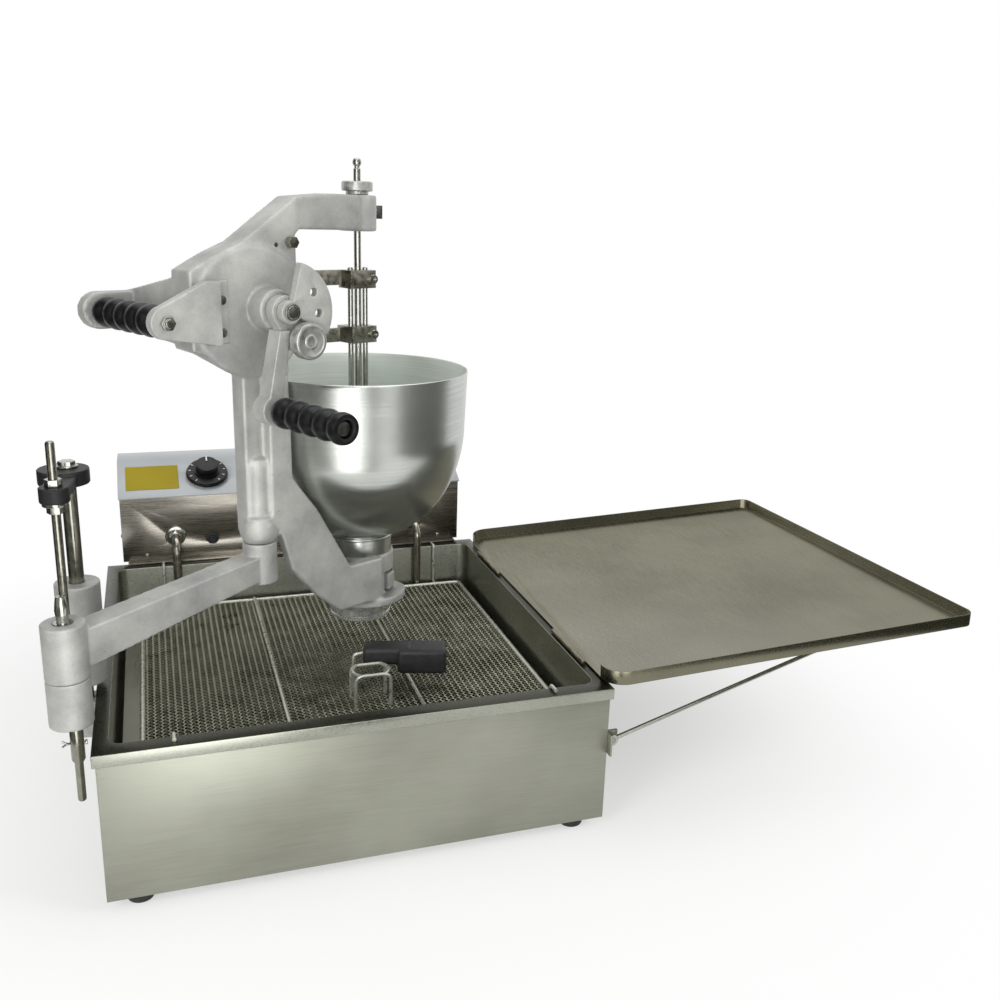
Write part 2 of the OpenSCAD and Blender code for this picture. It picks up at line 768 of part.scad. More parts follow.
module rod_fasteners() {
  color(polished) at_tank() difference() {
    union() {
      hex([rod_x, rod_y, plate_top - 2], 7, rod_r * 1.9);
      rod_z([rod_x, rod_y, rod_boss_z - 3], 3, rod_r + 7);
      hex([rod_x, rod_y, rod_boss_z - 10], 7, rod_r * 1.9);
    }
    rod_z([rod_x, rod_y, rod_boss_z - 20], rod_top, rod_r + seat);
  }
}

module plate_bolt() {
  color(polished) at_tank() {
    rod_z([post_x, post_y, post_top - 11], plate_top - post_top + 11, bolt_r);
    rod_z([post_x, post_y, plate_top], 2, bolt_r + 6);
    hex([post_x, post_y, plate_top + 2], 4, bolt_r + 4);
  }
}

module slider_casting() {
  a = [pivot_x, pivot_y];
  r = [rod_x, rod_y];
  p = [post_x, post_y];
  color(cast) at_tank() difference() {
    union() {
      rod_z([a[0], a[1], boss_z], boss_h, boss_r);
      rod_z([r[0], r[1], clamp_z], clamp_top - clamp_z, clamp_r);
      rod_z([p[0], p[1], rear_z], rear_top - rear_z, rear_r);
      link(a, r, 15, web_z, web_top);
      link(r, p, 15, web_z, web_top);
    }
    rod_z([a[0], a[1], boss_z + 8], boss_h, pin_r + seat);
    rod_z([r[0], r[1], clamp_z - 1], far, rod_r + play);
    rod_z([p[0], p[1], rear_z - 1], far, post_r + play);
  }
}

// Split pin through the rod's lower end, on which the slider rests
module split_pin() {
  color(polished) at_tank() translate([rod_x, rod_y, cotter_z]) {
    rod_x([-9, 0, 0], 16, cotter_r);
    rod_x([7, 0, 0], 2, cotter_r + 1.2);
    translate([-9, 0, 0]) sphere(cotter_r + 0.2);
    for (a = [35, -35])
      rotate([0, a, 0]) translate([-9 * cos(a), 0, -9 * sin(a)]) rotate([0, -90, 0]) cylinder(h = 5, r = cotter_r - 0.3);
  }
}

module arm_pin() {
  color(polished) at_tank() {
    rod_z([pivot_x, pivot_y, boss_z + 9], hub_top - boss_z - 9, pin_r);
    translate([pivot_x, pivot_y, hub_top]) cylinder(h = 11, r1 = pin_r - 3, r2 = pin_r - 2);
    translate([pivot_x, pivot_y, hub_top + 11]) cylinder(h = 13, r1 = pin_r - 2, r2 = pin_r / 2);
  }
}

module swing_arm() {
  near_z = hub_z + 6;
  far_z = far_hub_top - 38;
  color(cast) at_tank() translate([pivot_x, pivot_y, 0]) rotate([0, 0, arm_az]) difference() {
    union() {
      rod_z([0, 0, hub_z], hub_top - hub_z, boss_r);
      rod_z([arm_l, 0, far_hub_top - 43], 43, far_hub_r);
      prism_y(-arm_w / 2, arm_w / 2)
        polygon([[0, near_z], [arm_l, far_z], [arm_l, far_z + 26], [0, near_z + 37]]);
    }
    rod_z([0, 0, 0], far, pin_r + play);
    rod_z([arm_l, 0, 0], far, pin_r + play);
  }
}

// Depositor casting: a hollow-backed plate with a top arm, a lower arm that ends in the hopper's ring,
// and a side arm that holds the back end of the left grip
function hopper_arc(r0, a, b, end) = let (last = acos((end - r0) / a))
  [for (i = [0 : 15]) [r0 + a * cos(last * i / 15), hopper_top - rim_h - b * sin(last * i / 15)]];

module hopper_outline(grow) {
  r0 = neck_r - 16;
  polygon(concat([[0, hopper_top + 30], [hopper_r + grow, hopper_top + 30], [hopper_r + grow, hopper_top]],
    hopper_arc(r0, hopper_r - 2.5 - r0 + grow, bowl_h + grow, seat_r + grow), [[seat_r + grow, ring_top], [0, ring_top]]));
}

module depositor_frame() {
  left = -66;
  z = shaft_z;
  color(cast) at_head() difference() {
    union() {
      prism_y(front_y, back_y)
        polygon([[-10, z + 62], [-35, z + 52], [left, z + 36], [left, z - 37], [-49, z - 43], [-15, z - 63],
          [36, z - 75], [50, z - 12], [51, z + 41], [50, z + 74], [30, z + 90]]);
      prism_y(front_y, neck_y) polygon([[-15, z - 55], [-15, collar_z + 12], [-11, collar_z], [35, collar_z], [35, z - 55]]);
      intersection() {
        prism_y(-far, far)
          polygon([[-10, z + 62], [52, top_z - 4], [103, top_z], [hopper_s, top_z], [hopper_s, top_z - top_boss_h],
            [56, top_z - top_boss_h + 1], [40, z + 60]]);
        linear_extrude(far)
          polygon([[-30, front_y], [50, front_y], [hopper_s, hopper_n - 17], [hopper_s, hopper_n + 15],
            [60, back_y], [-30, back_y]]);
      }
      rod_z([hopper_s, hopper_n, top_z - top_boss_h], top_boss_h, top_boss_r);
      prism_y(rib_y, front_y + 1)
        polygon([[6, z - 66], [6, collar_z + 30], [19, collar_z], [29, collar_z - 36], [62, ring_top - 22],
          [86, ring_z + 4], [92, ring_z], [hopper_s - 7, ring_z], [hopper_s - 7, ring_top + 3], [104, ring_top + 3],
          [62, collar_z + 24], [32, collar_z + 63], [30, z - 66]]);
      prism_y(front_y, front_y + 16)
        polygon([[104, ring_top - 4], [88, ring_z + 14], [96, ring_z + 1], [hopper_s, ring_z + 1], [hopper_s, ring_top - 4]]);
      rod_z([hopper_s, hopper_n, ring_z], ring_top - ring_z, ring_r);
      rod_z([hopper_s, hopper_n, flange_z], ring_z - flange_z, flange_r);
      rod_z([hopper_s, hopper_n - lip_shift, flange_z], ring_z - flange_z, flange_r + 3);
      rod_z([0, 0, collar_z], 27, 2 * pin_r + 0.8);
      rod_z([0, 0, collar_z], 87, pin_r + 2.1);
      rod_y([shaft_s, boss_front, shaft_z], front_y - boss_front, shaft_r + 14);
      prism_x(left, left + 14)
        polygon([[0, z - 36], [0, z + 35], [tail_y + tail_t, grip_z + 18], [tail_y + tail_t, grip_z - 20]]);
      bar([grip_s, tail_y, grip_z - 18], [left + 14, tail_y + tail_t, grip_z + 18]);
      rod_y([grip_s, tail_y, grip_z], tail_t, 18);
    }
    prism_y(web_y, far)
      polygon([[left + 10, z - 29], [left + 10, z + 27], [-33, z + 41], [-8, z + 51], [40, z + 54], [42, z - 5],
        [28, z - 60], [-12, z - 53], [-46, z - 34]]);
    translate([hopper_s, hopper_n, 0]) {
      rotate_extrude() hopper_outline(3);
      rod_z([0, 0, flange_z - 1], ring_top, neck_r + 0.4);
      rod_z([0, 0, top_z - top_boss_h - 1], top_boss_h + 2, plunger_r + play);
      rod_x([plunger_r, 0, top_z - 17], far, 2.5 + play);
    }
    rod_y([shaft_s, boss_front - 1, shaft_z], far, shaft_r + play);
    rod_y([grip_s, tail_y - 1, grip_z], far, grip_bolt_r + seat);
    rod_z([0, 0, collar_z - 1], 65, pin_r + seat);
    for (h = [z + 10, z - 20])
      rod_y([-38, front_y - 1, h], 9, 2.5 + seat);
    rod_y([43, front_y - 1, z + 62], 9, 2.5 + seat);
  }
}

module head_pin() {
  color(polished) at_head() rod_z([0, 0, far_hub_top - 42], 105, pin_r);
}

module grip_bracket() {
  right = -45;
  low = shaft_z - 31;
  high = shaft_z + 28;
  color(cast) at_head() difference() {
    union() {
      prism_y(bracket_back - 10, bracket_back)
        polygon([[right, low], [right, high], [-60, high], [grip_s - 5, grip_z + 14], [grip_s, grip_z - 15]]);
      rod_y([grip_s, bracket_back - 10, grip_z], 10, 15);
      bar([right - 8, bracket_back - 10, low], [right, front_y, high]);
      bar([right - 8, front_y - 4, low], [-29, front_y, high]);
    }
    rod_y([grip_s, bracket_back - 11, grip_z], 12, grip_bolt_r + seat);
    for (z = [shaft_z + 10, shaft_z - 20])
      rod_y([-38, front_y - 5, z], 9, 2.5 + seat);
  }
}

module frame_screws() {
  color(polished) at_head() {
    for (z = [shaft_z + 10, shaft_z - 20]) {
      rod_y([-38, front_y - 4, z], 10, 2.5);
      rod_y([-38, front_y - 8, z], 4, 4.5);
    }
    rod_y([43, front_y, shaft_z + 62], 6, 2.5);
    translate([43, front_y - 8, shaft_z + 62]) rotate([-90, 0, 0]) cylinder(h = 8, r = 6, $fn = 6);
  }
}

module grip_bolt() {
  y0 = bracket_back - 10;
  y1 = tail_y + tail_t;
  color(polished) at_head() {
    rod_y([grip_s, y0 - 6, grip_z], y1 - y0 + 6, grip_bolt_r);
    translate([grip_s, y0 - 4, grip_z]) rotate([-90, 0, 0]) cylinder(h = 4, r = grip_bolt_r + 3, $fn = 6);
    rod_y([grip_s, y1, grip_z], 4, grip_bolt_r + 3);
  }
}

module left_grip() {
  color(black) at_head() translate([grip_s, 0, grip_z]) ball_grip(grip_y0, grip_bolt_r);
}

// Spun hopper: a bowl whose side is part of an ellipse, on a straight neck
module hopper() {
  r0 = neck_r - 16;
  a = hopper_r - 2.5 - r0;
  w = hopper_wall;
  outer = concat([[hopper_r, hopper_top]], hopper_arc(r0, a, bowl_h, seat_r),
    [[seat_r, ring_top], [neck_r, ring_top], [neck_r, flange_z]]);
  inner = concat([[neck_r - w, flange_z]],
    [for (i = [0 : 15]) hopper_arc(r0, a - w, bowl_h - w, neck_r - w)[15 - i]], [[hopper_r - w, hopper_top]]);
  color(polished) on_hopper() rotate_extrude() polygon(concat(outer, inner));
}

module nozzle() {
  r = nozzle_bore + 4;
  color(polished) on_hopper() rotate_extrude()
    polygon([[nozzle_bore, nozzle_z], [r, nozzle_z], [r, 168], [r + 3, 170], [r + 3, flange_z],
      [neck_r - hopper_wall - 0.2, flange_z], [neck_r - hopper_wall - 0.2, 196], [nozzle_bore, 196]]);
}

// Crank
module crank_shaft() {
  color(polished) on_shaft() {
    rod_y([0, shaft_front, 0], shaft_back - shaft_front, shaft_r);
    rod_y([0, sector_y - pass - 2, 0], 2, shaft_r + 2);
    rod_y([0, cam2_y + layer + 0.3, 0], 2, shaft_r + 2);
  }
}

module crank_lever() {
  back = boss_front - pass;
  color(cast) at_head() difference() {
    union() {
      rod_y([shaft_s, lever_y, shaft_z], lever_t, shaft_r + 9);
      rod_y([knob_s, lever_y, knob_z], lever_t, 12);
      prism_y(lever_y, back)
        polygon([[shaft_s - 13, shaft_z - 7], [shaft_s + 13, shaft_z + 6], [knob_s + 11, knob_z + 4], [knob_s - 10, knob_z - 6]]);
      prism_y(bar_front, back)
        polygon([[shaft_s - 12, shaft_z - 17], [shaft_s, shaft_z - 17], [crank_s + 7, crank_z + 10], [crank_s - 8, crank_z + 10]]);
      rod_y([crank_s, bar_front, crank_z], back - bar_front, 15);
    }
    rod_y([shaft_s, -far, shaft_z], far, shaft_r + seat);
    rod_y([knob_s, -far, knob_z], far, 3 + play);
    rod_y([crank_s, -far, crank_z], far, spindle_bolt_r + seat);
  }
}

module grip_spindle() {
  y0 = crank_grip_y - grip_l;
  color(polished) at_head() {
    rod_y([crank_s, y0 + 14, crank_z], boss_front - pass - y0 - 14, spindle_bolt_r);
    rod_y([crank_s, y0 + 12, crank_z], 4, 7);
  }
}

// The first ball of this grip has a flat face with a recess for the spindle's head
module crank_grip() {
  y0 = crank_grip_y - grip_l;
  flat = asin((9 - ball_r) / ball_r);
  color(black) at_head() translate([crank_s, 0, crank_z]) difference() {
    ball_grip(y0, spindle_bolt_r, 1)
      translate([0, y0 + ball_r, 0]) rotate([-90, 0, 0]) rotate_extrude()
        polygon(concat([[0, 9 - ball_r]],
          [for (i = [0 : 9]) ball_r * [cos(flat + (80 - flat) * i / 9), sin(flat + (80 - flat) * i / 9)]],
          [[0, ball_r * sin(80)]]));
    rod_y([0, y0 + 8, 0], 9, 8.5);
  }
}

module dose_sector() {
  color(cast) on_shaft() difference() {
    union() {
      prism_y(sector_y, sector_y + sector_t)
        polygon(concat([[0, 0]], [for (a = [-30 : 7 : 75]) sector_r * [cos(a), sin(a)]]));
      rod_y([0, sector_y, 0], sector_t, shaft_r + 5);
    }
    rod_y([0, -far, 0], 2 * far, shaft_r + play);
    for (a = [35, -4])
      rod_y([31 * cos(a), sector_y - 1, 31 * sin(a)], sector_t + 2, 4);
  }
}

module dose_knob() {
  color(polished) at_head() {
    rod_y([knob_s, sector_y - pass - disc_knob_t, knob_z], disc_knob_t, 17.5);
    rod_y([knob_s, sector_y - pass, knob_z], lever_y - sector_y + pass - 0.3, 6);
    rod_y([knob_s, lever_y - 0.3, knob_z], lever_t, 3);
  }
}

// Cams whose radius grows evenly over the crank's stroke, so that each follower rises at a constant rate.
// The flank stands back from the roller's path by the roller and its slope.
function cam_points(rise, lift) = let (r = rise - (roller_r + 0.5) / cos(atan2(lift * 180 / stroke / PI, rise - roller_r)))
  concat([for (a = [0 : cam_step : stroke + 10]) (r + lift * a / stroke) * [cos(90 + a), sin(90 + a)]],
    [for (a = [stroke + 10 + cam_step : cam_step : 355]) r * [cos(90 + a), sin(90 + a)]]);

module cam(y, rise, lift) {
  color(polished) on_shaft() difference() {
    prism_y(y, y + layer) polygon(cam_points(rise, lift));
    rod_y([0, y - 1, 0], layer + 2, shaft_r + seat);
  }
}

module cutter_cam() cam(cam1_y, roller_rise1, cutter_lift);

module plunger_cam() cam(cam2_y, roller_rise2, plunger_lift);

// A slot in a follower plate that lets the shaft pass while the plate rises
module shaft_slot(y, lift) {
  w = shaft_r + pass;
  on_shaft() {
    rod_y([0, y - 1, 0], follower_t + 2, w);
    rod_y([0, y - 1, -lift], follower_t + 2, w);
    bar([-w, y - 1, -lift], [w, y + follower_t + 1, 0]);
  }
}

module upper_yoke() {
  z1 = upper_z + upper_h;
  color(polished) difference() {
    union() {
      at_head() {
        bar([hopper_s - 16, hopper_n - 9, upper_z], [hopper_s + 18, plate1_y + follower_t, z1]);
        bar([shaft_s - 15, plate1_y, upper_z + 3], [hopper_s, plate1_y + follower_t, z1]);
        bar([shaft_s - 15, plate1_y, shaft_z - cutter_lift - 16], [shaft_s + 15, plate1_y + follower_t, z1]);
      }
      on_shaft() rod_y([0, cam1_y, roller_rise1], plate1_y - cam1_y, roller_r);
    }
    shaft_slot(plate1_y, cutter_lift);
    on_hopper() {
      rod_z([0, 0, 0], far, plunger_r + 0.5);
      for (x = [-cutter_gap, cutter_gap])
        rod_z([x, 0, 0], far, cutter_r + seat);
    }
  }
}

module cutter_rods() {
  color(polished) on_hopper() for (x = [-cutter_gap, cutter_gap])
    rod_z([x, 0, sleeve_top], upper_z + upper_h + 3 - sleeve_top, cutter_r);
}

module cutter_sleeve() {
  color(polished) on_hopper() difference() {
    union() {
      difference() {
        rod_z([0, 0, sleeve_z], sleeve_top - sleeve_z, sleeve_r);
        rod_z([0, 0, sleeve_z - 1], sleeve_top, sleeve_r - sleeve_t);
      }
      intersection() {
        bar([-sleeve_r, -5, sleeve_top - 10], [sleeve_r, 5, sleeve_top]);
        rod_z([0, 0, sleeve_z], far, sleeve_r);
      }
    }
    rod_z([0, 0, 0], far, plunger_r + 0.5);
  }
}

module lower_yoke() {
  z1 = lower_z + lower_h;
  color(polished) difference() {
    union() {
      at_head() {
        bar([hopper_s - 14, hopper_n - 9, lower_z], [hopper_s + 19, plate2_y + follower_t, z1]);
        bar([shaft_s - 15, plate2_y, lower_z], [hopper_s, plate2_y + follower_t, z1 - 3]);
        bar([shaft_s - 15, plate2_y, lower_z], [shaft_s + 15, plate2_y + follower_t, shaft_z + roller_rise2 + 8]);
      }
      on_shaft() rod_y([0, plate2_y, roller_rise2], cam2_y + layer - plate2_y, roller_r);
    }
    shaft_slot(plate2_y, plunger_lift);
    on_hopper() {
      rod_z([0, 0, 0], far, plunger_r + seat);
      for (x = [-cutter_gap, cutter_gap])
        rod_z([x, 0, 0], far, cutter_r + 0.5);
    }
  }
}

module plunger_rod() {
  tip = top_z + 33;
  color(polished) on_hopper() {
    rod_z([0, 0, disc_top], tip - 6 - disc_top, plunger_r);
    rod_z([0, 0, tip - 6], 6, plunger_r - 1);
    translate([0, 0, tip]) sphere(plunger_r + 0.9);
  }
}

module plunger_disc() {
  color(polished) on_hopper() {
    rod_z([0, 0, sleeve_z + 0.5], disc_top - sleeve_z - 3.5, disc_r);
    translate([0, 0, disc_top - 3]) cylinder(h = 3, r1 = disc_r, r2 = 10);
  }
}

module rod_collar() {
  color(polished) on_hopper() difference() {
    union() {
      rod_z([0, 0, top_z + 0.3], 5, 12);
      rod_z([0, 0, top_z + 4], 10, 16.5);
    }
    rod_z([0, 0, top_z], 20, plunger_r + play);
  }
}

module set_screw() {
  z = top_z - 17;
  color(polished) on_hopper() {
    rod_x([plunger_r + 1, 0, z], top_boss_r + 3 - plunger_r, 2.5);
    rod_x([top_boss_r + 3, 0, z], 3, 4);
    bar([top_boss_r + 6, -1.5, z - 7], [top_boss_r + 15, 1.5, z + 7]);
  }
}

casing();
oil_pan();
rubber_feet();
element_tube();
element_nuts();
head_box();
head_panel();
head_bracket();
head_screws();
thermostat_body();
thermostat_knob();
limiter_body();
reset_button();
terminal_block();
cable_gland();
screen_frame();
screen_mesh();
screen_handle();
screen_grip();
tray();
tray_hinges();
strut_bracket();
tray_strut();
post();
post_bracket();
top_plate();
guide_rod();
rod_fasteners();
plate_bolt();
slider_casting();
split_pin();
arm_pin();
swing_arm();
depositor_frame();
head_pin();
grip_bracket();
frame_screws();
grip_bolt();
left_grip();
hopper();
nozzle();
crank_shaft();
crank_lever();
grip_spindle();
crank_grip();
dose_sector();
dose_knob();
cutter_cam();
plunger_cam();
upper_yoke();
cutter_rods();
cutter_sleeve();
lower_yoke();
plunger_rod();
plunger_disc();
rod_collar();
set_screw();
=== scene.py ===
# Looks of a hand-cranked donut depositor on a swing arm over an electric table-top fryer.
# +X points to the drain tray, +Y to the control head and +Z up. Blender's lengths are metres, and sizes in
# millimetres are multiplied by mm.
import json
import math
import bpy
from mathutils import Matrix, Vector

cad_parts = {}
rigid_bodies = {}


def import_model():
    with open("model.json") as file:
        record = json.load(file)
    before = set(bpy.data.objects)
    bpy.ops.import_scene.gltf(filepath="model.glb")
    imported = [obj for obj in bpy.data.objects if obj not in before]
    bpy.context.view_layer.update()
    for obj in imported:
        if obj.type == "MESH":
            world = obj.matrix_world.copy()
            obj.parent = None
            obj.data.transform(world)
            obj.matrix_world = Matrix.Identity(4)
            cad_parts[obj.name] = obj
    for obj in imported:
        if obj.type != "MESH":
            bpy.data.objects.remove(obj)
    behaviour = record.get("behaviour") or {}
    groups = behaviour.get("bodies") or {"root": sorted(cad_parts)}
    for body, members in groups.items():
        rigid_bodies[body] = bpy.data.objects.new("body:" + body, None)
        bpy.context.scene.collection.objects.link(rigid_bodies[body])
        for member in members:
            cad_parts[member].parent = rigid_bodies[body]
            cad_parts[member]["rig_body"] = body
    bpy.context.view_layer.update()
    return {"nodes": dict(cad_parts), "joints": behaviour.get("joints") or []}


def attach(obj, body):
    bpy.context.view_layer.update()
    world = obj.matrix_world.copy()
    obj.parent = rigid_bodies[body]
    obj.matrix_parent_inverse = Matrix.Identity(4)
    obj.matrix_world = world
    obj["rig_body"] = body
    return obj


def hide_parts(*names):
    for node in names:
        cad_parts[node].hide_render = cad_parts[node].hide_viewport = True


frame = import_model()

# Studio: the camera stands in front of the tank's left half, a little higher than the hopper, and looks
# down to the right. Its place and its turns come from the lines of the tank in the photograph.
mm = 0.001
camera_place = (-0.1787, -1.1030, 0.6302)
camera_turn = math.radians(19.26)
camera_tilt = math.radians(15.96)
camera_roll = math.radians(1.87)

camera_data = bpy.data.cameras.new("camera")
camera_data.lens = 36.46
camera_data.clip_end = 60
camera = bpy.data.objects.new("camera", camera_data)
bpy.context.scene.collection.objects.link(camera)
camera.matrix_world = (
    Matrix.Translation(camera_place)
    @ Matrix.Rotation(-camera_turn, 4, "Z")
    @ Matrix.Rotation(math.pi / 2 - camera_tilt, 4, "X")
    @ Matrix.Rotation(camera_roll, 4, "Z")
)
bpy.context.scene.camera = camera
bpy.context.scene.view_settings.view_transform = "Standard"


def tone(code):
    """An sRGB hex colour as linear red, green, blue and alpha."""
    parts = [int(code[i : i + 2], 16) / 255 for i in (1, 3, 5)]
    return [p / 12.92 if p < 0.04045 else ((p + 0.055) / 1.055) ** 2.4 for p in parts] + [1]


def add(tree, kind, inputs=None, stops=(), **settings):
    """Adds a shader node with its settings. An input is a value or a (node, output) link, and a stop of a
    ramp is (place, colour)."""
    made = tree.nodes.new("ShaderNode" + kind)
    for key, value in settings.items():
        setattr(made, key, value)
    for key, value in (inputs or {}).items():
        if isinstance(value, tuple) and isinstance(value[0], bpy.types.Node):
            tree.links.new(value[0].outputs[value[1]], made.inputs[key])
        else:
            made.inputs[key].default_value = value
    for i, (place, code) in enumerate(stops):
        elements = made.color_ramp.elements
        stop = elements[i] if i < 2 else elements.new(place)
        stop.position = place
        stop.color = tone(code)
    return made


# The room: white where the camera, a mirror or glass sees it, and an even soft light on everything else,
# as in a studio with pale walls.
world = bpy.data.worlds.new("studio")
bpy.context.scene.world = world
world.use_nodes = True
room = world.node_tree
room.nodes.clear()
ray = add(room, "LightPath")
seen = add(room, "Math", {0: (ray, "Is Camera Ray"), 1: (ray, "Is Transmission Ray")}, operation="MAXIMUM")
seen = add(room, "Math", {0: (seen, "Value"), 1: (ray, "Is Glossy Ray")}, operation="MAXIMUM")
soft = add(room, "Background", {"Color": tone("#f4f6f4"), "Strength": 0.56})
white = add(room, "Background", {"Color": (1, 1, 1, 1), "Strength": 1.0})
mixed = add(room, "MixShader", {0: (seen, "Value"), 1: (soft, "Background"), 2: (white, "Background")})
add(room, "OutputWorld", {"Surface": (mixed, "Shader")})

# The floor is a pale sweep of painted board: matt near the object, where it takes the shadow, and white
# further out. Its white is only seen, and lights nothing.


def new_finish(name):
    """A material with nothing in it yet, and its node tree."""
    made = bpy.data.materials.new(name)
    made.use_nodes = True
    made.node_tree.nodes.clear()
    return made, made.node_tree


bpy.ops.object.select_all(action="DESELECT")
bpy.ops.mesh.primitive_plane_add(size=24)
floor = bpy.context.object
floor.name = "floor"
sweep, tree = new_finish("pale_sweep")
place = add(tree, "TexCoord")
reach = add(tree, "VectorMath", {0: (place, "Object")}, operation="LENGTH")
fade = add(
    tree, "MapRange", {"Value": (reach, "Value"), "From Min": 0.3, "From Max": 0.9, "To Min": 0.5},
    interpolation_type="SMOOTHSTEP",
)
ray = add(tree, "LightPath")
seen = add(tree, "Math", {0: (ray, "Is Camera Ray"), 1: (ray, "Is Transmission Ray")}, operation="MAXIMUM")
seen = add(tree, "Math", {0: (seen, "Value"), 1: (ray, "Is Glossy Ray")}, operation="MAXIMUM")
share = add(tree, "Math", {0: (fade, "Result"), 1: (seen, "Value")}, operation="MULTIPLY")
matt = add(tree, "BsdfDiffuse", {"Color": tone("#f1f2f0")})
glow = add(tree, "Emission", {"Color": (1, 1, 1, 1), "Strength": 1.0})
both = add(tree, "MixShader", {0: (share, "Value"), 1: (matt, "BSDF"), 2: (glow, "Emission")})
add(tree, "OutputMaterial", {"Surface": (both, "Shader")})
floor.data.materials.append(sweep)

# Cards: a white one, a grey one and three dark ones stand round the object for its reflections alone, so
# that round metal gets light and dark bands. Each has the way it stands in degrees, its distance from the
# middle, its width and height in metres, its colour and its glow.
cards = [
    ("white_card", -108, 0.62, 0.24, 1.6, "#ffffff", 2.6),
    ("dark_card", -187, 0.62, 0.6, 1.6, "#4a4b46", 0.0),
    ("dark_card", -85, 0.62, 0.12, 1.6, "#4a4b46", 0.0),
    ("grey_card", -142, 0.62, 0.44, 1.6, "#80817a", 0.0),
    ("dark_card", -30, 0.95, 1.1, 1.6, "#5a5b55", 0.0),
]
for name, way, far, wide, high, code, shine in cards:
    bpy.ops.object.select_all(action="DESELECT")
    bpy.ops.mesh.primitive_plane_add(size=1)
    card = bpy.context.object
    card.name = name
    stand = Matrix.Rotation(math.radians(way), 4, "Z") @ Matrix.Translation((far, 0, high / 2))
    card.data.transform(stand @ Matrix.Rotation(-math.pi / 2, 4, "Y") @ Matrix.Diagonal((high, wide, 1, 1)))
    card.visible_camera = False
    card.visible_shadow = False
    card.visible_diffuse = False
    paper, tree = new_finish(name)
    matt = add(tree, "BsdfDiffuse", {"Color": tone(code)})
    lit = add(tree, "Emission", {"Color": tone(code), "Strength": shine})
    sheet = add(tree, "AddShader", {0: (matt, "BSDF"), 1: (lit, "Emission")})
    add(tree, "OutputMaterial", {"Surface": (sheet, "Shader")})
    card.data.materials.append(paper)

# Softboxes: two windows, a ceiling light and a low reflector in front, all broad, so that shadows are soft.
# Each has its place, what it points at, its width and height in metres and its watts.
softboxes = [
    ("window_left", (-2.0, -1.7, 1.2), (0, 0, 0.35), 1.0, 2.2, 44),
    ("window_right", (2.4, -1.5, 1.7), (0, 0, 0.3), 1.2, 1.8, 28),
    ("ceiling", (0.2, 0.4, 2.8), (0, 0, 0), 2.4, 1.8, 17),
    ("reflector", (-0.3, -2.2, 0.3), (0, 0, 0.3), 1.8, 0.6, 13),
]
for name, hung, target, wide, high, watts in softboxes:
    lamp = bpy.data.lights.new(name, "AREA")
    lamp.shape = "RECTANGLE"
    lamp.size = wide
    lamp.size_y = high
    lamp.energy = watts
    box = bpy.data.objects.new(name, lamp)
    box.location = hung
    box.rotation_euler = (Vector(target) - Vector(hung)).to_track_quat("-Z", "Y").to_euler()
    bpy.context.scene.collection.objects.link(box)

# Casing: a box of stainless sheet round the oil pan, bent from one piece with its grain along the front.
# Sheet corners are broken by the bend, so each edge catches a thin line of light.


def steel_sheet(name, dark, light, grain, rough, up_tone=None):
    """Brushed stainless: fine scratches along one way, drawn four times too coarse so that they show, over
    broad clouds. What faces up can be given a darker tone."""
    made, tree = new_finish(name)
    scratch_mm = 0.8
    place = add(tree, "TexCoord")
    drawn = add(tree, "Mapping", {"Vector": (place, "Object"), "Scale": grain})
    fine = 1 / (scratch_mm * mm)
    scratches = add(tree, "TexNoise", {"Vector": (drawn, "Vector"), "Scale": fine, "Detail": 4})
    clouds = add(tree, "TexNoise", {"Vector": (place, "Object"), "Scale": 7, "Detail": 3})
    weights = {0: (scratches, "Fac"), 1: 0.55, 2: (clouds, "Fac")}
    blend = add(tree, "Math", weights, operation="MULTIPLY_ADD")
    colour = add(tree, "ValToRGB", {"Fac": (blend, "Value")}, stops=[(0.45, dark), (11 / 12, light)])
    if up_tone:
        # Faces that point up, by their normal, take the darker colour given for them.
        up = add(tree, "SeparateXYZ", {0: (place, "Normal")})
        faces_up = add(tree, "MapRange", {"Value": (up, "Z"), "From Min": 0.9, "From Max": 0.99})
        layers = {"Fac": (faces_up, "Result"), "Color1": (colour, "Color"), "Color2": tone(up_tone)}
        colour = add(tree, "MixRGB", layers)
    gloss = add(
        tree, "MapRange",
        {"Value": (scratches, "Fac"), "From Min": 0.3, "From Max": 0.7,
         "To Min": rough - 0.05, "To Max": rough + 0.07},
    )
    relief = add(tree, "Bump", {"Height": (scratches, "Fac"), "Strength": 0.12, "Distance": 0.05 * mm})
    shader = add(
        tree, "BsdfPrincipled",
        {"Base Color": (colour, "Color"), "Metallic": 1.0, "Roughness": (gloss, "Result"),
         "Normal": (relief, "Normal")},
    )
    add(tree, "OutputMaterial", {"Surface": (shader, "BSDF")})
    return made


def only(piece):
    """Selects this piece alone and makes it the active one."""
    bpy.ops.object.select_all(action="DESELECT")
    piece.select_set(True)
    bpy.context.view_layer.objects.active = piece


def merged_copy(node):
    """A copy of a CAD node as one closed mesh: doubles merged, flat triangles joined to faces."""
    piece = bpy.data.objects.new(node + "_look", frame["nodes"][node].data.copy())
    bpy.context.scene.collection.objects.link(piece)
    only(piece)
    bpy.ops.object.mode_set(mode="EDIT")
    bpy.ops.mesh.select_all(action="SELECT")
    bpy.ops.mesh.remove_doubles(threshold=0.002 * mm)
    bpy.ops.mesh.dissolve_limited(angle_limit=math.radians(0.6))
    bpy.ops.object.mode_set(mode="OBJECT")
    return piece


def apply(piece, kind, **settings):
    """Adds a modifier to the piece and applies it."""
    only(piece)
    modifier = piece.modifiers.new(kind.lower(), kind)
    for key, value in settings.items():
        setattr(modifier, key, value)
    bpy.ops.object.modifier_apply(modifier=modifier.name)


def fit(piece, body, finish):
    """Gives the piece its finish and the body it moves with."""
    piece.data.materials.clear()
    piece.data.materials.append(finish)
    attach(piece, body)


def hand_over(piece, node, finish):
    """The piece takes the node's place."""
    fit(piece, frame["nodes"][node]["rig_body"], finish)
    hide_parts(node)


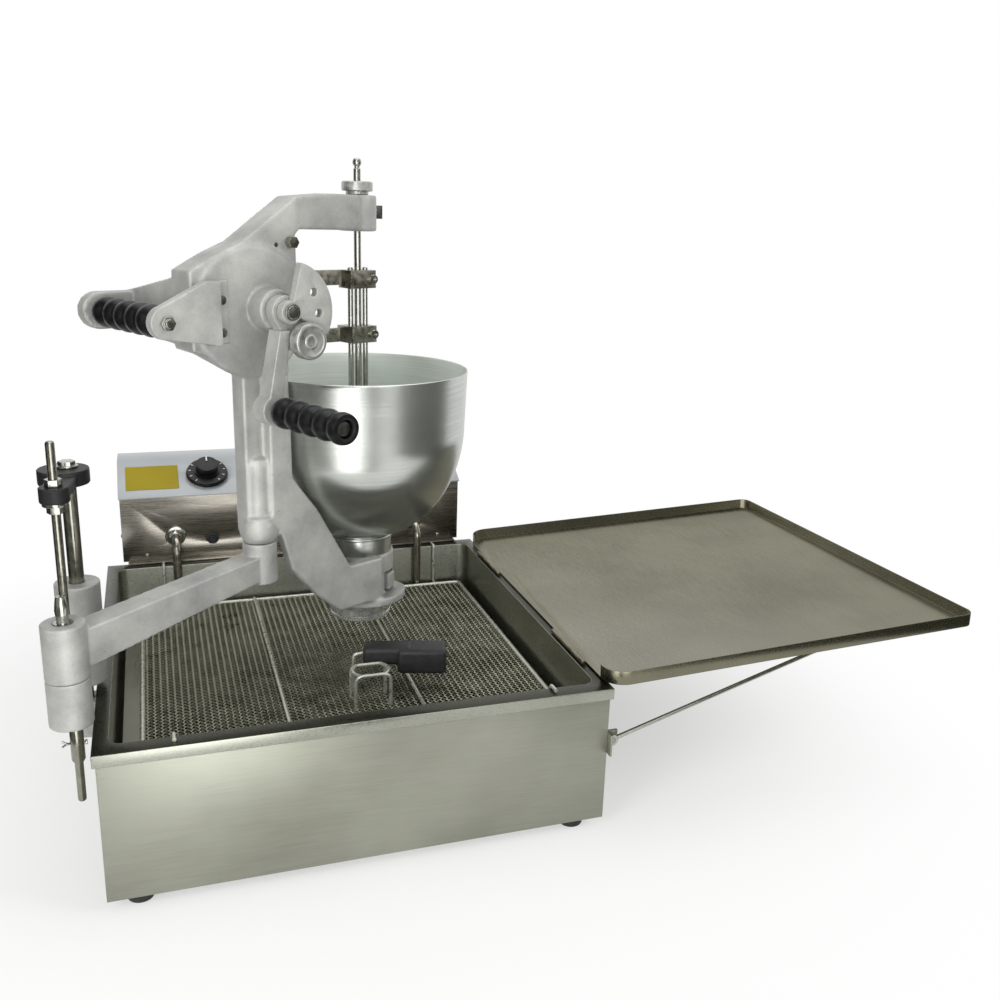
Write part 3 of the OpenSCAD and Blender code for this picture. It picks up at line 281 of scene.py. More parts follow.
def edged(node, finish, edge_mm, steps=2, smooth=35):
    """The node with its edges rounded by edge_mm."""
    piece = merged_copy(node)
    if edge_mm:
        apply(
            piece, "BEVEL", width=edge_mm * mm, segments=steps, limit_method="ANGLE",
            angle_limit=math.radians(smooth), harden_normals=False,
        )
    only(piece)
    bpy.ops.object.shade_smooth_by_angle(angle=math.radians(smooth))
    hand_over(piece, node, finish)


casing_steel = steel_sheet("brushed_stainless_casing", "#88897d", "#9fa094", (0.02, 0.5, 1), 0.46)
edged("casing", casing_steel, 0.5)

# Oil pan: one deep-drawn stainless pan whose rim folds down over the casing and carries it. It is less
# brushed than the casing, and its rim and its bottom, which face up, are given a dark olive tone.
pan_steel = steel_sheet("drawn_stainless_pan", "#8f9085", "#a9aa9f", (0.25, 0.25, 1), 0.3, up_tone="#3b3c30")
edged("oil_pan", pan_steel, 1.4, 4)

# Feet: four moulded rubber feet, near black and matt. Each is screwed under the casing through a recess in
# its sole.
foot_r = 14
foot_high = 12
foot_spots = [(-218, -230), (218, -230), (-218, 230), (218, 230)]


def dull_rubber(name, dark, light):
    """Moulded rubber: near black, with a bloom that greys it in soft patches."""
    made, tree = new_finish(name)
    place = add(tree, "TexCoord")
    bloom = add(tree, "TexNoise", {"Vector": (place, "Object"), "Scale": 120, "Detail": 3})
    colour = add(tree, "ValToRGB", {"Fac": (bloom, "Fac")}, stops=[(0.35, dark), (0.75, light)])
    shader = add(tree, "BsdfPrincipled", {"Base Color": (colour, "Color"), "Roughness": 0.75})
    add(tree, "OutputMaterial", {"Surface": (shader, "BSDF")})
    return made


def turned(outline, place, closed=False, steps=64, smooth=35):
    """A piece from the lathe: the outline of (radius, height) points in mm is drawn from one end and spun
    about the axis."""
    bpy.ops.object.select_all(action="DESELECT")
    bpy.ops.mesh.primitive_plane_add(size=mm)
    piece = bpy.context.object
    bpy.ops.object.mode_set(mode="EDIT")
    bpy.ops.mesh.select_mode(type="VERT")
    bpy.ops.mesh.select_all(action="SELECT")
    bpy.ops.mesh.merge(type="CENTER")
    last = (0, 0)
    path = outline + outline[:1] if closed else outline
    for i, (r, h) in enumerate(path):
        step = ((r - last[0]) * mm, 0, (h - last[1]) * mm)
        if i:
            bpy.ops.mesh.extrude_vertices_move(TRANSFORM_OT_translate={"value": step})
        else:
            bpy.ops.transform.translate(value=step)
        last = (r, h)
    bpy.ops.mesh.select_all(action="SELECT")
    bpy.ops.mesh.spin(steps=steps, angle=2 * math.pi, center=(0, 0, 0), axis=(0, 0, 1))
    bpy.ops.mesh.select_all(action="SELECT")
    bpy.ops.mesh.remove_doubles(threshold=0.004 * mm)
    bpy.ops.mesh.normals_make_consistent(inside=False)
    bpy.ops.object.mode_set(mode="OBJECT")
    piece.data.transform(place)
    bpy.ops.object.shade_smooth_by_angle(angle=math.radians(smooth))
    return piece


def spot(x, y, z):
    """A place in the fryer's frame, in mm."""
    return Matrix.Translation(Vector((x, y, z)) * mm)


def set_out(piece, places):
    """Copies of a piece made about the origin, each with its own mesh. The piece itself goes."""
    copies = []
    for place in places:
        copy = piece.copy()
        copy.data = piece.data.copy()
        bpy.context.scene.collection.objects.link(copy)
        copy.data.transform(place)
        copies.append(copy)
    bpy.data.objects.remove(piece)
    return copies


def joined(name, pieces):
    """Several pieces as one object."""
    only(pieces[0])
    for piece in pieces:
        piece.select_set(True)
    if len(pieces) > 1:
        bpy.ops.object.join()
    pieces[0].name = name
    return pieces[0]


foot_rubber = dull_rubber("moulded_rubber", "#151516", "#242425")
foot_outline = [
    (0, 3), (4, 3), (4.5, 0.4), (10, 0), (11.8, 0.6), (12.6, 2), (foot_r, foot_high - 1),
    (foot_r, foot_high), (0, foot_high),
]
foot = turned(foot_outline, spot(0, 0, 0), steps=40)
feet = set_out(foot, [spot(x, y, 0) for x, y in foot_spots])
hand_over(joined("feet", feet), "rubber_feet", foot_rubber)

# Heating element: a bent tube of stainless, tinted by heat, that lies under the screen. Turned flanges seal
# it where it leaves the control head.
flange_x = 162.5
flange_z = 198
head_front_y = 254
front = Matrix.Rotation(math.pi / 2, 4, "X")
back = Matrix.Rotation(-math.pi / 2, 4, "X")


def bright_metal(name, dark, light, rough, spot_mm=6, mirror=1.0):
    """Turned or drawn steel: mirror-like, with faint handling marks that vary the gloss."""
    made, tree = new_finish(name)
    place = add(tree, "TexCoord")
    marks = add(tree, "TexNoise", {"Vector": (place, "Object"), "Scale": 1 / (spot_mm * mm), "Detail": 4})
    colour = add(tree, "ValToRGB", {"Fac": (marks, "Fac")}, stops=[(0.3, dark), (0.7, light)])
    gloss = add(
        tree, "MapRange",
        {"Value": (marks, "Fac"), "From Min": 0.3, "From Max": 0.7,
         "To Min": rough * 0.7, "To Max": rough * 1.4},
    )
    shader = add(
        tree, "BsdfPrincipled",
        {"Base Color": (colour, "Color"), "Metallic": mirror, "Roughness": (gloss, "Result")},
    )
    add(tree, "OutputMaterial", {"Surface": (shader, "BSDF")})
    return made


tube_steel = bright_metal("heat_tinted_tube", "#9a958a", "#aaa599", 0.2)
edged("element_tube", tube_steel, 0, smooth=50)
bright_steel = bright_metal("bright_steel", "#a6a69f", "#b8b8b1", 0.17)
flange_outline = [
    (5.52, 0), (12.6, 0), (13.2, 0.5), (13.2, 1.8), (12.4, 2.6), (9.6, 3), (9.2, 3.6), (9.2, 6.4),
    (7.8, 7.6), (5.52, 8),
]
flange = turned(flange_outline, front, closed=True, steps=48)
flanges = set_out(flange, [spot(x, head_front_y, flange_z) for x in (-flange_x, flange_x)])
hand_over(joined("tube_flanges", flanges), "element_nuts", bright_steel)

# Control head: a stainless box on a bent plate over the back rim, held by pan-head screws and closed by a
# sloping enamelled cover.
head_side_x = 230
front_screw_z = 173
side_screw_z = 196
head_steel = steel_sheet("brushed_stainless_head", "#928d84", "#aaa59c", (0.02, 0.5, 1), 0.26)
edged("head_box", head_steel, 0.6)
edged("head_bracket", head_steel, 0.4)
screw_outline = [(0, 0), (3, 0), (3, 0.7), (2.5, 1.5), (1.5, 1.95), (0.9, 2), (0.8, 1.3), (0, 1.3)]
left = Matrix.Rotation(-math.pi / 2, 4, "Y")
right = Matrix.Rotation(math.pi / 2, 4, "Y")
screw = turned(screw_outline, spot(0, 0, 0), steps=24)
screw_places = [spot(x, head_front_y, front_screw_z) @ front for x in (-200, 0, 200)]
for y in (274, 340):
    screw_places.append(spot(-head_side_x, y, side_screw_z) @ left)
    screw_places.append(spot(head_side_x, y, side_screw_z) @ right)
screws = set_out(screw, screw_places)
hand_over(joined("pan_head_screws", screws), "head_screws", bright_steel)


def baked_enamel(name, dark, light, coat=0.3):
    """Baked enamel: a pale even coat with a soft gloss and a faint orange peel."""
    made, tree = new_finish(name)
    peel_mm = 1.5
    place = add(tree, "TexCoord")
    clouds = add(tree, "TexNoise", {"Vector": (place, "Object"), "Scale": 9, "Detail": 2})
    peel = add(tree, "TexNoise", {"Vector": (place, "Object"), "Scale": 1 / (peel_mm * mm), "Detail": 1})
    colour = add(tree, "ValToRGB", {"Fac": (clouds, "Fac")}, stops=[(0.3, dark), (0.7, light)])
    relief = add(tree, "Bump", {"Height": (peel, "Fac"), "Strength": 0.1, "Distance": 0.05 * mm})
    shader = add(
        tree, "BsdfPrincipled",
        {"Base Color": (colour, "Color"), "Roughness": 0.45 - coat / 2, "Coat Weight": coat,
         "Specular IOR Level": 0.2 + coat, "Normal": (relief, "Normal")},
    )
    add(tree, "OutputMaterial", {"Surface": (shader, "BSDF")})
    return made


panel_enamel = baked_enamel("baked_enamel", "#999da1", "#a5a9ac")
edged("head_panel", panel_enamel, 1.2, 3)


def facing(joint):
    """The place of a joint, with the lathe's axis along the joint's own."""
    found = [j for j in frame["joints"] if j["name"] == joint][0]
    turn = Vector(found["axis"]).to_track_quat("Z", "Y").to_matrix().to_4x4()
    return Matrix.Translation(found["pos_m"]) @ turn


# Blank plate: thin sheet with a coat of matt yellow paint, glued to the sloping cover left of the knob. Its
# edges are rolled over.
plate_wide = 67
plate_deep = 45
plate_thick = 0.8
plate_from_knob = -71
cover_rise, cover_run = 35.5, 63.5


def new_cube():
    """A cube of 1 m about the origin, selected alone. Its mesh is then given its size and place."""
    bpy.ops.object.select_all(action="DESELECT")
    bpy.ops.mesh.primitive_cube_add(size=1)
    return bpy.context.object


panel = facing("knob_turn")
tilt = math.atan2(cover_rise, cover_run)
slope = Matrix.Translation(panel.translation) @ Matrix.Rotation(tilt, 4, "X")
plate = new_cube()
plate.name = "blank_plate"
plate_size = Matrix.Diagonal((plate_wide * mm, plate_deep * mm, plate_thick * mm, 1))
plate.data.transform(slope @ spot(plate_from_knob, 0, plate_thick / 2) @ plate_size)
apply(plate, "BEVEL", width=0.3 * mm, segments=2)
plate_paint = baked_enamel("painted_plate", "#8c7c02", "#9a890c", coat=0.0)
fit(plate, "base", plate_paint)

# Thermostat: a bakelite knob with a fluted grip on a broad skirt, on the spindle of a body behind the
# cover. The skirt has raised white marks and the grip a white pointer.
skirt_r = 27.5
grip_r = 18.6
grip_high = 23
grip_base = 9
flutes = 9
flute_share = 0.84
mark_r = 22.6
mark_z = 8.62
mark_step = 28
marks_on_skirt = 11


def black_moulding(name, dark, light, rough, shine):
    """Moulded black plastic or bakelite: a deep black whose gloss varies a little with handling."""
    made, tree = new_finish(name)
    place = add(tree, "TexCoord")
    wear = add(tree, "TexNoise", {"Vector": (place, "Object"), "Scale": 160, "Detail": 4})
    colour = add(tree, "ValToRGB", {"Fac": (wear, "Fac")}, stops=[(0.35, dark), (0.75, light)])
    gloss = add(
        tree, "MapRange",
        {"Value": (wear, "Fac"), "From Min": 0.3, "From Max": 0.7,
         "To Min": rough * 0.85, "To Max": rough * 1.25},
    )
    shader = add(
        tree, "BsdfPrincipled",
        {"Base Color": (colour, "Color"), "Roughness": (gloss, "Result"), "Specular IOR Level": shine},
    )
    add(tree, "OutputMaterial", {"Surface": (shader, "BSDF")})
    return made


bakelite = black_moulding("moulded_bakelite", "#0b0b0c", "#131415", 0.34, 0.3)
black_plastic = black_moulding("moulded_black_plastic", "#222223", "#2b2b2d", 0.45, 0.3)
mark_paint = baked_enamel("white_marking", "#c4c6c6", "#d4d6d6")
skirt = turned(
    [(3.05, 3.6), (skirt_r - 0.6, 3.6), (skirt_r, 4.2), (skirt_r - 0.8, 6.2), (skirt_r - 2, 8.2), (20, 8.9),
     (17, 9.3), (17, 12), (3.05, 12)],
    panel, closed=True, steps=72,
)
bpy.ops.object.select_all(action="DESELECT")
grip_middle = (grip_base + grip_high) / 2
bpy.ops.mesh.primitive_cylinder_add(
    vertices=2 * flutes, radius=grip_r * mm, depth=(grip_high - grip_base) * mm,
    location=(0, 0, grip_middle * mm),
)
grip = bpy.context.object
bpy.ops.object.transform_apply(location=True)
for vertex in grip.data.vertices:
    angle = math.degrees(math.atan2(vertex.co.y, vertex.co.x))
    vertex.select = round(angle * flutes / 180) % 2 == 1
bpy.ops.object.mode_set(mode="EDIT")
bpy.ops.mesh.select_mode(type="VERT")
bpy.ops.transform.resize(value=(flute_share, flute_share, 1), center_override=(0, 0, 0))
bpy.ops.object.mode_set(mode="OBJECT")
for face in grip.data.polygons:
    face.select = face.normal.z > 0.9
bpy.ops.object.mode_set(mode="EDIT")
bpy.ops.mesh.select_mode(type="FACE")
bpy.ops.mesh.inset(thickness=2 * mm, depth=0)
bpy.ops.mesh.inset(thickness=1.6 * mm, depth=-1 * mm)
bpy.ops.object.mode_set(mode="OBJECT")
apply(grip, "BEVEL", width=0.9 * mm, segments=3, limit_method="ANGLE", angle_limit=math.radians(25))
only(grip)
bpy.ops.object.shade_smooth_by_angle(angle=math.radians(40))
grip.data.transform(panel)
hand_over(joined("knob", [skirt, grip]), "thermostat_knob", bakelite)
mark = new_cube()
mark.data.transform(spot(0, -mark_r, mark_z) @ Matrix.Diagonal((1 * mm, 3.4 * mm, 0.7 * mm, 1)))
apply(mark, "BEVEL", width=0.15 * mm, segments=2)
turns = [math.radians(40 + mark_step * i) for i in range(marks_on_skirt)]
marks = set_out(mark, [panel @ Matrix.Rotation(turn, 4, "Z") for turn in turns])
pointer = new_cube()
pointer.data.transform(panel @ spot(0, 9, grip_high) @ Matrix.Diagonal((1.8 * mm, 9 * mm, 0.8 * mm, 1)))
apply(pointer, "BEVEL", width=0.2 * mm, segments=2)
fit(joined("knob_marks", marks + [pointer]), "knob", mark_paint)
edged("thermostat_body", black_plastic, 0.5)

# Reset of the limiter: a black push button in a collar on the front of the head, with the switch body
# inside. The cable gland and the ceramic terminal block are the rest of what the head holds.
edged("limiter_body", black_plastic, 0.7, 3)
button = turned(
    [(0, 12), (4, 12), (4, 1.2), (3.4, 0.3), (2.6, 0), (1.6, 0.5), (0, 0.6)],
    spot(-115, 247, 192) @ back, steps=32,
)
hand_over(joined("button", [button]), "reset_button", black_plastic)
edged("cable_gland", black_plastic, 0.6)
terminal_ceramic = baked_enamel("glazed_ceramic", "#c8c3b6", "#d4d0c6")
edged("terminal_block", terminal_ceramic, 0.5)

# Fry screen: a welded frame of bright round wire that hangs from the rim by hooks. Two thinner wires divide
# it, and a strip of sheet fills its left side.
frame_wire = 6
thin_wire = 4
screen_z = 111
screen_x = (-210, 222)
screen_y = (-226, 215.5)
hooks_x = (-180, 188)
hook_z = 165.1
strip_wide = 19


def wire(points, thick, bend, ring=False):
    """A round wire of thick mm through the points, with bends of that radius in mm."""
    line = bpy.data.curves.new("wire", "CURVE")
    line.dimensions = "3D"
    corners = [Vector(p) for p in points]
    path = []
    count = len(corners)
    for i, corner in enumerate(corners):
        if not ring and i in (0, count - 1):
            path.append(corner)
            continue
        before = (corners[i - 1] - corner).normalized()
        after = (corners[(i + 1) % count] - corner).normalized()
        for k in range(5):
            t = k / 4
            path.append(corner + before * bend * (1 - t) ** 2 + after * bend * t ** 2)
    spline = line.splines.new("POLY")
    spline.points.add(len(path) - 1)
    for point, place in zip(spline.points, path):
        point.co = (*(place * mm), 1)
    spline.use_cyclic_u = ring
    line.bevel_depth = thick / 2 * mm
    line.bevel_resolution = 3
    line.use_fill_caps = True
    piece = bpy.data.objects.new("wire", line)
    bpy.context.scene.collection.objects.link(piece)
    only(piece)
    bpy.ops.object.convert(target="MESH")
    bpy.ops.object.shade_smooth_by_angle(angle=math.radians(50))
    return bpy.context.object


x0, x1 = screen_x
y0, y1 = screen_y
around = [(x0, y0, screen_z), (x1, y0, screen_z), (x1, y1, screen_z), (x0, y1, screen_z)]
wires = [wire(around, frame_wire, 6, ring=True)]
for x in (-66, 78):
    wires.append(wire([(x, y0 - 1, screen_z + 2.7), (x, y1 + 1, screen_z + 2.7)], thin_wire, 0))
for x in hooks_x:
    for y, wall_y, end_y in ((y0, -230, -244), (y1, 230, 242)):
        hook = [(x, y, screen_z), (x, wall_y, screen_z), (x, wall_y, hook_z), (x, end_y, hook_z)]
        wires.append(wire(hook, thin_wire, 4))
screen_steel = bright_metal("drawn_wire", "#b6b7ac", "#c8c9be", 0.3, mirror=0.7)
hand_over(joined("screen_wires", wires), "screen_frame", screen_steel)
strip = new_cube()
strip.name = "screen_margin"
strip_size = Matrix.Diagonal((strip_wide * mm, (y1 - y0) * mm, 1.2 * mm, 1))
strip.data.transform(spot(x0 - strip_wide / 2, (y0 + y1) / 2, screen_z) @ strip_size)
apply(strip, "BEVEL", width=0.4 * mm, segments=2)
strip_steel = steel_sheet("oiled_screen_margin", "#5a5a4e", "#6e6e62", (0.5, 0.02, 1), 0.3)
fit(strip, "screen", strip_steel)

# The screen's net is woven from crimped wire at 45 degrees: each wire goes over one and under the next. One
# crossing is drawn with four sides a wire, because it repeats some thousands of times.
net_inset = 3.2
net_wire_r = 0.85
cells_x = 60
cells_y = 62
cell_x = (x1 - x0 - 2 * net_inset) / cells_x
cell_y = (y1 - y0 - 2 * net_inset) / cells_y
crimp = 0.75


def strand(start, end, r):
    """A straight four-sided length of wire of radius r between two points, all in mm."""
    run = Vector(end) - Vector(start)
    bpy.ops.object.select_all(action="DESELECT")
    bpy.ops.mesh.primitive_cylinder_add(
        vertices=4, radius=r * mm, depth=run.length * mm, end_fill_type="NOTHING"
    )
    piece = bpy.context.object
    turn = run.to_track_quat("Z", "Y").to_matrix().to_4x4()
    middle = (Vector(start) + Vector(end)) / 2 * mm
    piece.data.transform(Matrix.Translation(middle) @ turn)
    return piece


corner = Vector((x0 + net_inset, y0 + net_inset, screen_z))
strands = []
for i, j, high in ((0, 0, -crimp), (1, 1, -crimp), (1, 0, crimp), (0, 1, crimp)):
    end = corner + Vector((i * cell_x, j * cell_y, high))
    middle = corner + Vector((cell_x / 2, cell_y / 2, -high))
    strands.append(strand(end, middle, net_wire_r))
net = joined("woven_net", strands)
for count, step in ((cells_x, (cell_x * mm, 0, 0)), (cells_y, (0, cell_y * mm, 0))):
    apply(
        net, "ARRAY", count=count, use_relative_offset=False, use_constant_offset=True,
        constant_offset_displace=step,
    )
only(net)
bpy.ops.object.shade_smooth()
net_steel = bright_metal("oiled_net_wire", "#80806f", "#a3a292", 0.36, 20)
hand_over(net, "screen_mesh", net_steel)

# The screen's handle: two bent loops of wire, welded to the frame and joined at their tops, and a taller
# wire with a grip of moulded black plastic on it.
leg_left, leg_right = 6, 44
loop_y = (-129, -101)
loop_z = 149
foot_z = 111.8
riser_x, riser_y = 12, -84.7
grip_wire_z = 155.5
loops = []
for y in loop_y:
    loop = [(leg_left, y, foot_z), (leg_left, y, loop_z), (leg_right, y, loop_z), (leg_right, y, foot_z)]
    loops.append(wire(loop, thin_wire, 9))
near_y, far_y = loop_y
for x, lean in ((leg_left, 6), (leg_right, -6)):
    tie = [
        (x + lean, near_y, loop_z), (x, near_y + 8, loop_z), (x, far_y - 8, loop_z),
        (x + lean, far_y, loop_z),
    ]
    loops.append(wire(tie, thin_wire, 4))
grip_wire = [
    (riser_x, riser_y, foot_z), (riser_x, riser_y, grip_wire_z), (riser_x + 26, riser_y, grip_wire_z),
]
loops.append(wire(grip_wire, thin_wire, 6))
hand_over(joined("handle_loops", loops), "screen_handle", screen_steel)
grip_place = spot(26, -80.7, 151) @ Matrix.Rotation(math.radians(-15), 4, "Z")
screen_grip = new_cube()
screen_grip.name = "moulded_screen_grip"
screen_grip.data.transform(spot(65, 0, -6) @ Matrix.Diagonal((54 * mm, 34 * mm, 28 * mm, 1)))
for face in screen_grip.data.polygons:
    face.select = face.normal.x < -0.9
bpy.ops.object.mode_set(mode="EDIT")
bpy.ops.mesh.select_mode(type="FACE")
bpy.ops.mesh.inset(thickness=4.2 * mm, depth=0)
bpy.ops.transform.translate(value=(-2 * mm, 0, 4 * mm))
bpy.ops.mesh.extrude_region_move(TRANSFORM_OT_translate={"value": (-38 * mm, 0, 3 * mm)})
bpy.ops.transform.resize(value=(1, 0.8, 0.72), center_override=(0, 0, 8 * mm))
bpy.ops.object.mode_set(mode="OBJECT")
apply(screen_grip, "BEVEL", width=5 * mm, segments=6, limit_method="ANGLE", angle_limit=math.radians(20))
only(screen_grip)
bpy.ops.object.shade_smooth_by_angle(angle=math.radians(50))
screen_grip.data.transform(grip_place)
hand_over(screen_grip, "screen_grip", black_plastic)

# Drain tray: a sheet of brushed stainless with bent lips, rounded at its corners. It is hinged on the right
# rim and held up by a strut of bright wire.
tray_steel = steel_sheet("brushed_stainless_tray", "#696757", "#807d6b", (0.5, 0.02, 1), 0.27)
edged("tray", tray_steel, 0.5)
edged("tray_hinges", tray_steel, 0.3)
edged("strut_bracket", casing_steel, 0.4)
edged("tray_strut", bright_steel, 0, smooth=50)

# Column: a ground post and a guide rod on the tank's left side, tied at the top by a black plate. A split
# pin fixes a stop collar to the rod, and the slider's casting rests on it and carries the swing arm.
post_x, post_y = -260, -106
rod_x, rod_y = -267, -168
hub_x, hub_y = -265, -218


def sand_casting(name, dark, light, rough):
    """Sand-cast metal, bare or painted: matt, with the grit of the mould, small dark voids and broad
    stains."""
    made, tree = new_finish(name)
    grit_mm = 0.9
    void_mm = 2.6
    place = add(tree, "TexCoord")
    stains = add(
        tree, "TexNoise", {"Vector": (place, "Object"), "Scale": 22, "Detail": 5, "Roughness": 0.6}
    )
    grit = add(tree, "TexNoise", {"Vector": (place, "Object"), "Scale": 1 / (grit_mm * mm), "Detail": 3})
    blend = add(tree, "Math", {0: (grit, "Fac"), 1: 0.35, 2: (stains, "Fac")}, operation="MULTIPLY_ADD")
    colour = add(tree, "ValToRGB", {"Fac": (blend, "Value")}, stops=[(0.45, dark), (0.92, light)])
    voids = add(tree, "TexNoise", {"Vector": (place, "Object"), "Scale": 1 / (void_mm * mm), "Detail": 1})
    clean = add(
        tree, "MapRange",
        {"Value": (voids, "Fac"), "From Min": 0.72, "From Max": 0.78, "To Min": 1.0, "To Max": 0.7},
    )
    layers = {"Fac": 1.0, "Color1": (colour, "Color"), "Color2": (clean, "Result")}
    colour = add(tree, "MixRGB", layers, blend_type="MULTIPLY")
    relief = add(tree, "Bump", {"Height": (grit, "Fac"), "Strength": 0.35, "Distance": 0.12 * mm})
    shader = add(
        tree, "BsdfPrincipled",
        {"Base Color": (colour, "Color"), "Metallic": 0.5, "Roughness": rough,
         "Normal": (relief, "Normal")},
    )
    add(tree, "OutputMaterial", {"Surface": (shader, "BSDF")})
    return made


def cast(node, finish, grain_mm, rounds):
    """The node as a casting: edges and inner corners run into each other as in a sand mould."""
    piece = merged_copy(node)
    apply(piece, "REMESH", mode="VOXEL", voxel_size=grain_mm * mm)
    apply(piece, "SMOOTH", factor=0.5, iterations=rounds)
    only(piece)
    bpy.ops.object.shade_smooth()
    hand_over(piece, node, finish)


cast_aluminium = sand_casting("sand_cast_aluminium", "#929290", "#c0c0bb", 0.55)
black_cast = sand_casting("black_painted_casting", "#1a1b1b", "#292b2a", 0.5)
ground = bright_metal("ground_steel", "#8a887d", "#9c9a8f", 0.2)
post_outline = [(0, 112), (6.4, 112), (7, 112.8), (7, 380.6), (6.6, 381), (0, 381)]
post = turned(post_outline, spot(post_x, post_y, 0), steps=40)
hand_over(joined("ground_post", [post]), "post", ground)
cast("post_bracket", cast_aluminium, 1.2, 6)
cast("top_plate", black_cast, 1.0, 5)
rod = turned(
    [(0, 72), (2.6, 72.4), (3.7, 73.6), (4, 75), (4, 115), (5, 115), (6.3, 117.4), (6.3, 149), (5.8, 149.8),
     (4, 149.8), (4, 423.6), (3.6, 425), (2.6, 425.8), (0, 426)],
    spot(rod_x, rod_y, 0), steps=32,
)
hand_over(joined("ground_rod", [rod]), "guide_rod", ground)
edged("rod_fasteners", bright_steel, 0.6, 3)
edged("plate_bolt", bright_steel, 0.6, 3)
edged("split_pin", bright_steel, 0.2)
cast("slider_casting", cast_aluminium, 1.0, 5)
pin = turned(
    [(0, 190), (7.4, 190), (8, 191), (8, 277), (5.2, 277.2), (5, 278), (5.5, 284), (6, 288.5), (5.4, 294),
     (4.6, 299.5), (3.8, 300.9), (2.4, 301), (0, 301)],
    spot(hub_x, hub_y, 0), steps=40,
)
hand_over(joined("hub_pin", [pin]), "arm_pin", bright_steel)
cast("swing_arm", cast_aluminium, 1.1, 5)

# Depositor casting: one sand-cast frame with a round shield in front of the crank shaft's bearing, a neck,
# and an arm that ends in the hopper's ring. It swings on a pin through the arm's end. Depositor places are
# given from that pivot: across, back and up from the height of the tank's underside.
hopper_s, hopper_n = 157, 36
head_turn = math.radians(27)
swing = facing("head_swing").translation
head = Matrix.Translation((swing.x, swing.y, foot_high * mm)) @ Matrix.Rotation(head_turn, 4, "Z")
hopper_axis = head @ spot(hopper_s, hopper_n, 0)


def cast_with(node, extra, cuts, finish, grain_mm, rounds):
    """The node as a casting, together with bosses that the mould runs into it, and with drilled or milled
    cuts."""
    piece = joined(node + "_look", [merged_copy(node)] + extra)
    apply(piece, "REMESH", mode="VOXEL", voxel_size=grain_mm * mm)
    apply(piece, "SMOOTH", factor=0.5, iterations=rounds)
    for cut in cuts:
        apply(piece, "BOOLEAN", operation="DIFFERENCE", object=cut)
        bpy.data.objects.remove(cut)
    only(piece)
    bpy.ops.object.shade_smooth_by_angle(angle=math.radians(50))
    hand_over(piece, node, finish)


def block(size, place, edge):
    """A milled block of the size in mm about its own middle, with its edges broken."""
    piece = new_cube()
    piece.data.transform(Matrix.Diagonal((*(Vector(size) * mm), 1)))
    apply(piece, "BEVEL", width=edge * mm, segments=3)
    only(piece)
    bpy.ops.object.shade_smooth_by_angle(angle=math.radians(35))
    piece.data.transform(place)
    return piece


shield_outline = [(0, -2), (63, -2), (63, 5), (61, 6.5), (0, 6.5)]
shield = turned(shield_outline, head @ spot(-1, 0, 517) @ front, steps=80)
collar_boss = turned(
    [(0, 286), (16, 286), (18.6, 290), (19.2, 297), (18.4, 304), (15, 311), (12.4, 314), (12.2, 366),
     (10.6, 371), (6, 373.4), (0, 374)],
    head, steps=48,
)
boss_outline = [(4.2, 592), (19.6, 592), (20.4, 593), (20.4, 628), (19.6, 629), (4.2, 629)]
top_boss = turned(boss_outline, hopper_axis, closed=True, steps=64)
hole_outline = [(0, -8), (2.3, -8), (2.3, 12), (0, 12)]
small_hole = turned(hole_outline, head @ spot(27.6, 0, 579.5) @ front, steps=24)
lip_end = block((16, 90, 14), head @ spot(205.5, 20, 183), 0.5)
lug_turn = Matrix.Rotation(math.radians(-66), 4, "Z")
lug_slot = block((16, 21, 25), hopper_axis @ lug_turn @ spot(39.5, 0, 199.5), 2)
cast_with(
    "depositor_frame", [shield, collar_boss, top_boss], [small_hole, lug_slot, lip_end],
    cast_aluminium, 1.7, 5,
)
lug = block((7, 15, 19), hopper_axis @ lug_turn @ spot(37.6, 1.5, 199), 1.5)
lug.name = "hopper_lug"
fit(lug, "head", cast_aluminium)
edged("head_pin", bright_steel, 0.5)
cast("grip_bracket", cast_aluminium, 0.8, 4)
edged("frame_screws", ground, 0.8, 3)
edged("grip_bolt", bright_steel, 0.8, 3)

# Grips: moulded bakelite balls in a row, bored for the bolt on which they spin. The left one is held in a
# cast fork, and the crank's ends in a flat face with a recess.
ball_r = 15
ball_pitch = 21.3
balls = 5
core_r = 12


def ball_row(start, first_angle):
    """The outline of a row of balls from its start, where the first ball begins at first_angle."""
    rim = math.degrees(math.acos(core_r / ball_r))
    outline = []
    for i in range(balls):
        low = first_angle if i == 0 else -rim
        high = 82 if i == balls - 1 else rim
        for k in range(11):
            a = math.radians(low + (high - low) * k / 10)
            outline.append((ball_r * math.cos(a), start + ball_r + i * ball_pitch + ball_r * math.sin(a)))
    return outline


left_outline = ball_row(-11, -82)
left_outline = [(4.05, left_outline[0][1])] + left_outline + [(4.05, left_outline[-1][1])]
grip = turned(left_outline, head @ spot(-100, 0, 513) @ back, closed=True, smooth=60)
hand_over(joined("ball_grip_left", [grip]), "left_grip", bakelite)

# Hopper: spun from one disc of aluminium. A bead stiffens the rim and another stands on the neck, where the
# bowl sits in the casting's ring. A turned nozzle closes the neck from below.
hopper_top = 445
rim_high = 61.2
bowl_high = 130
wall = 1.5


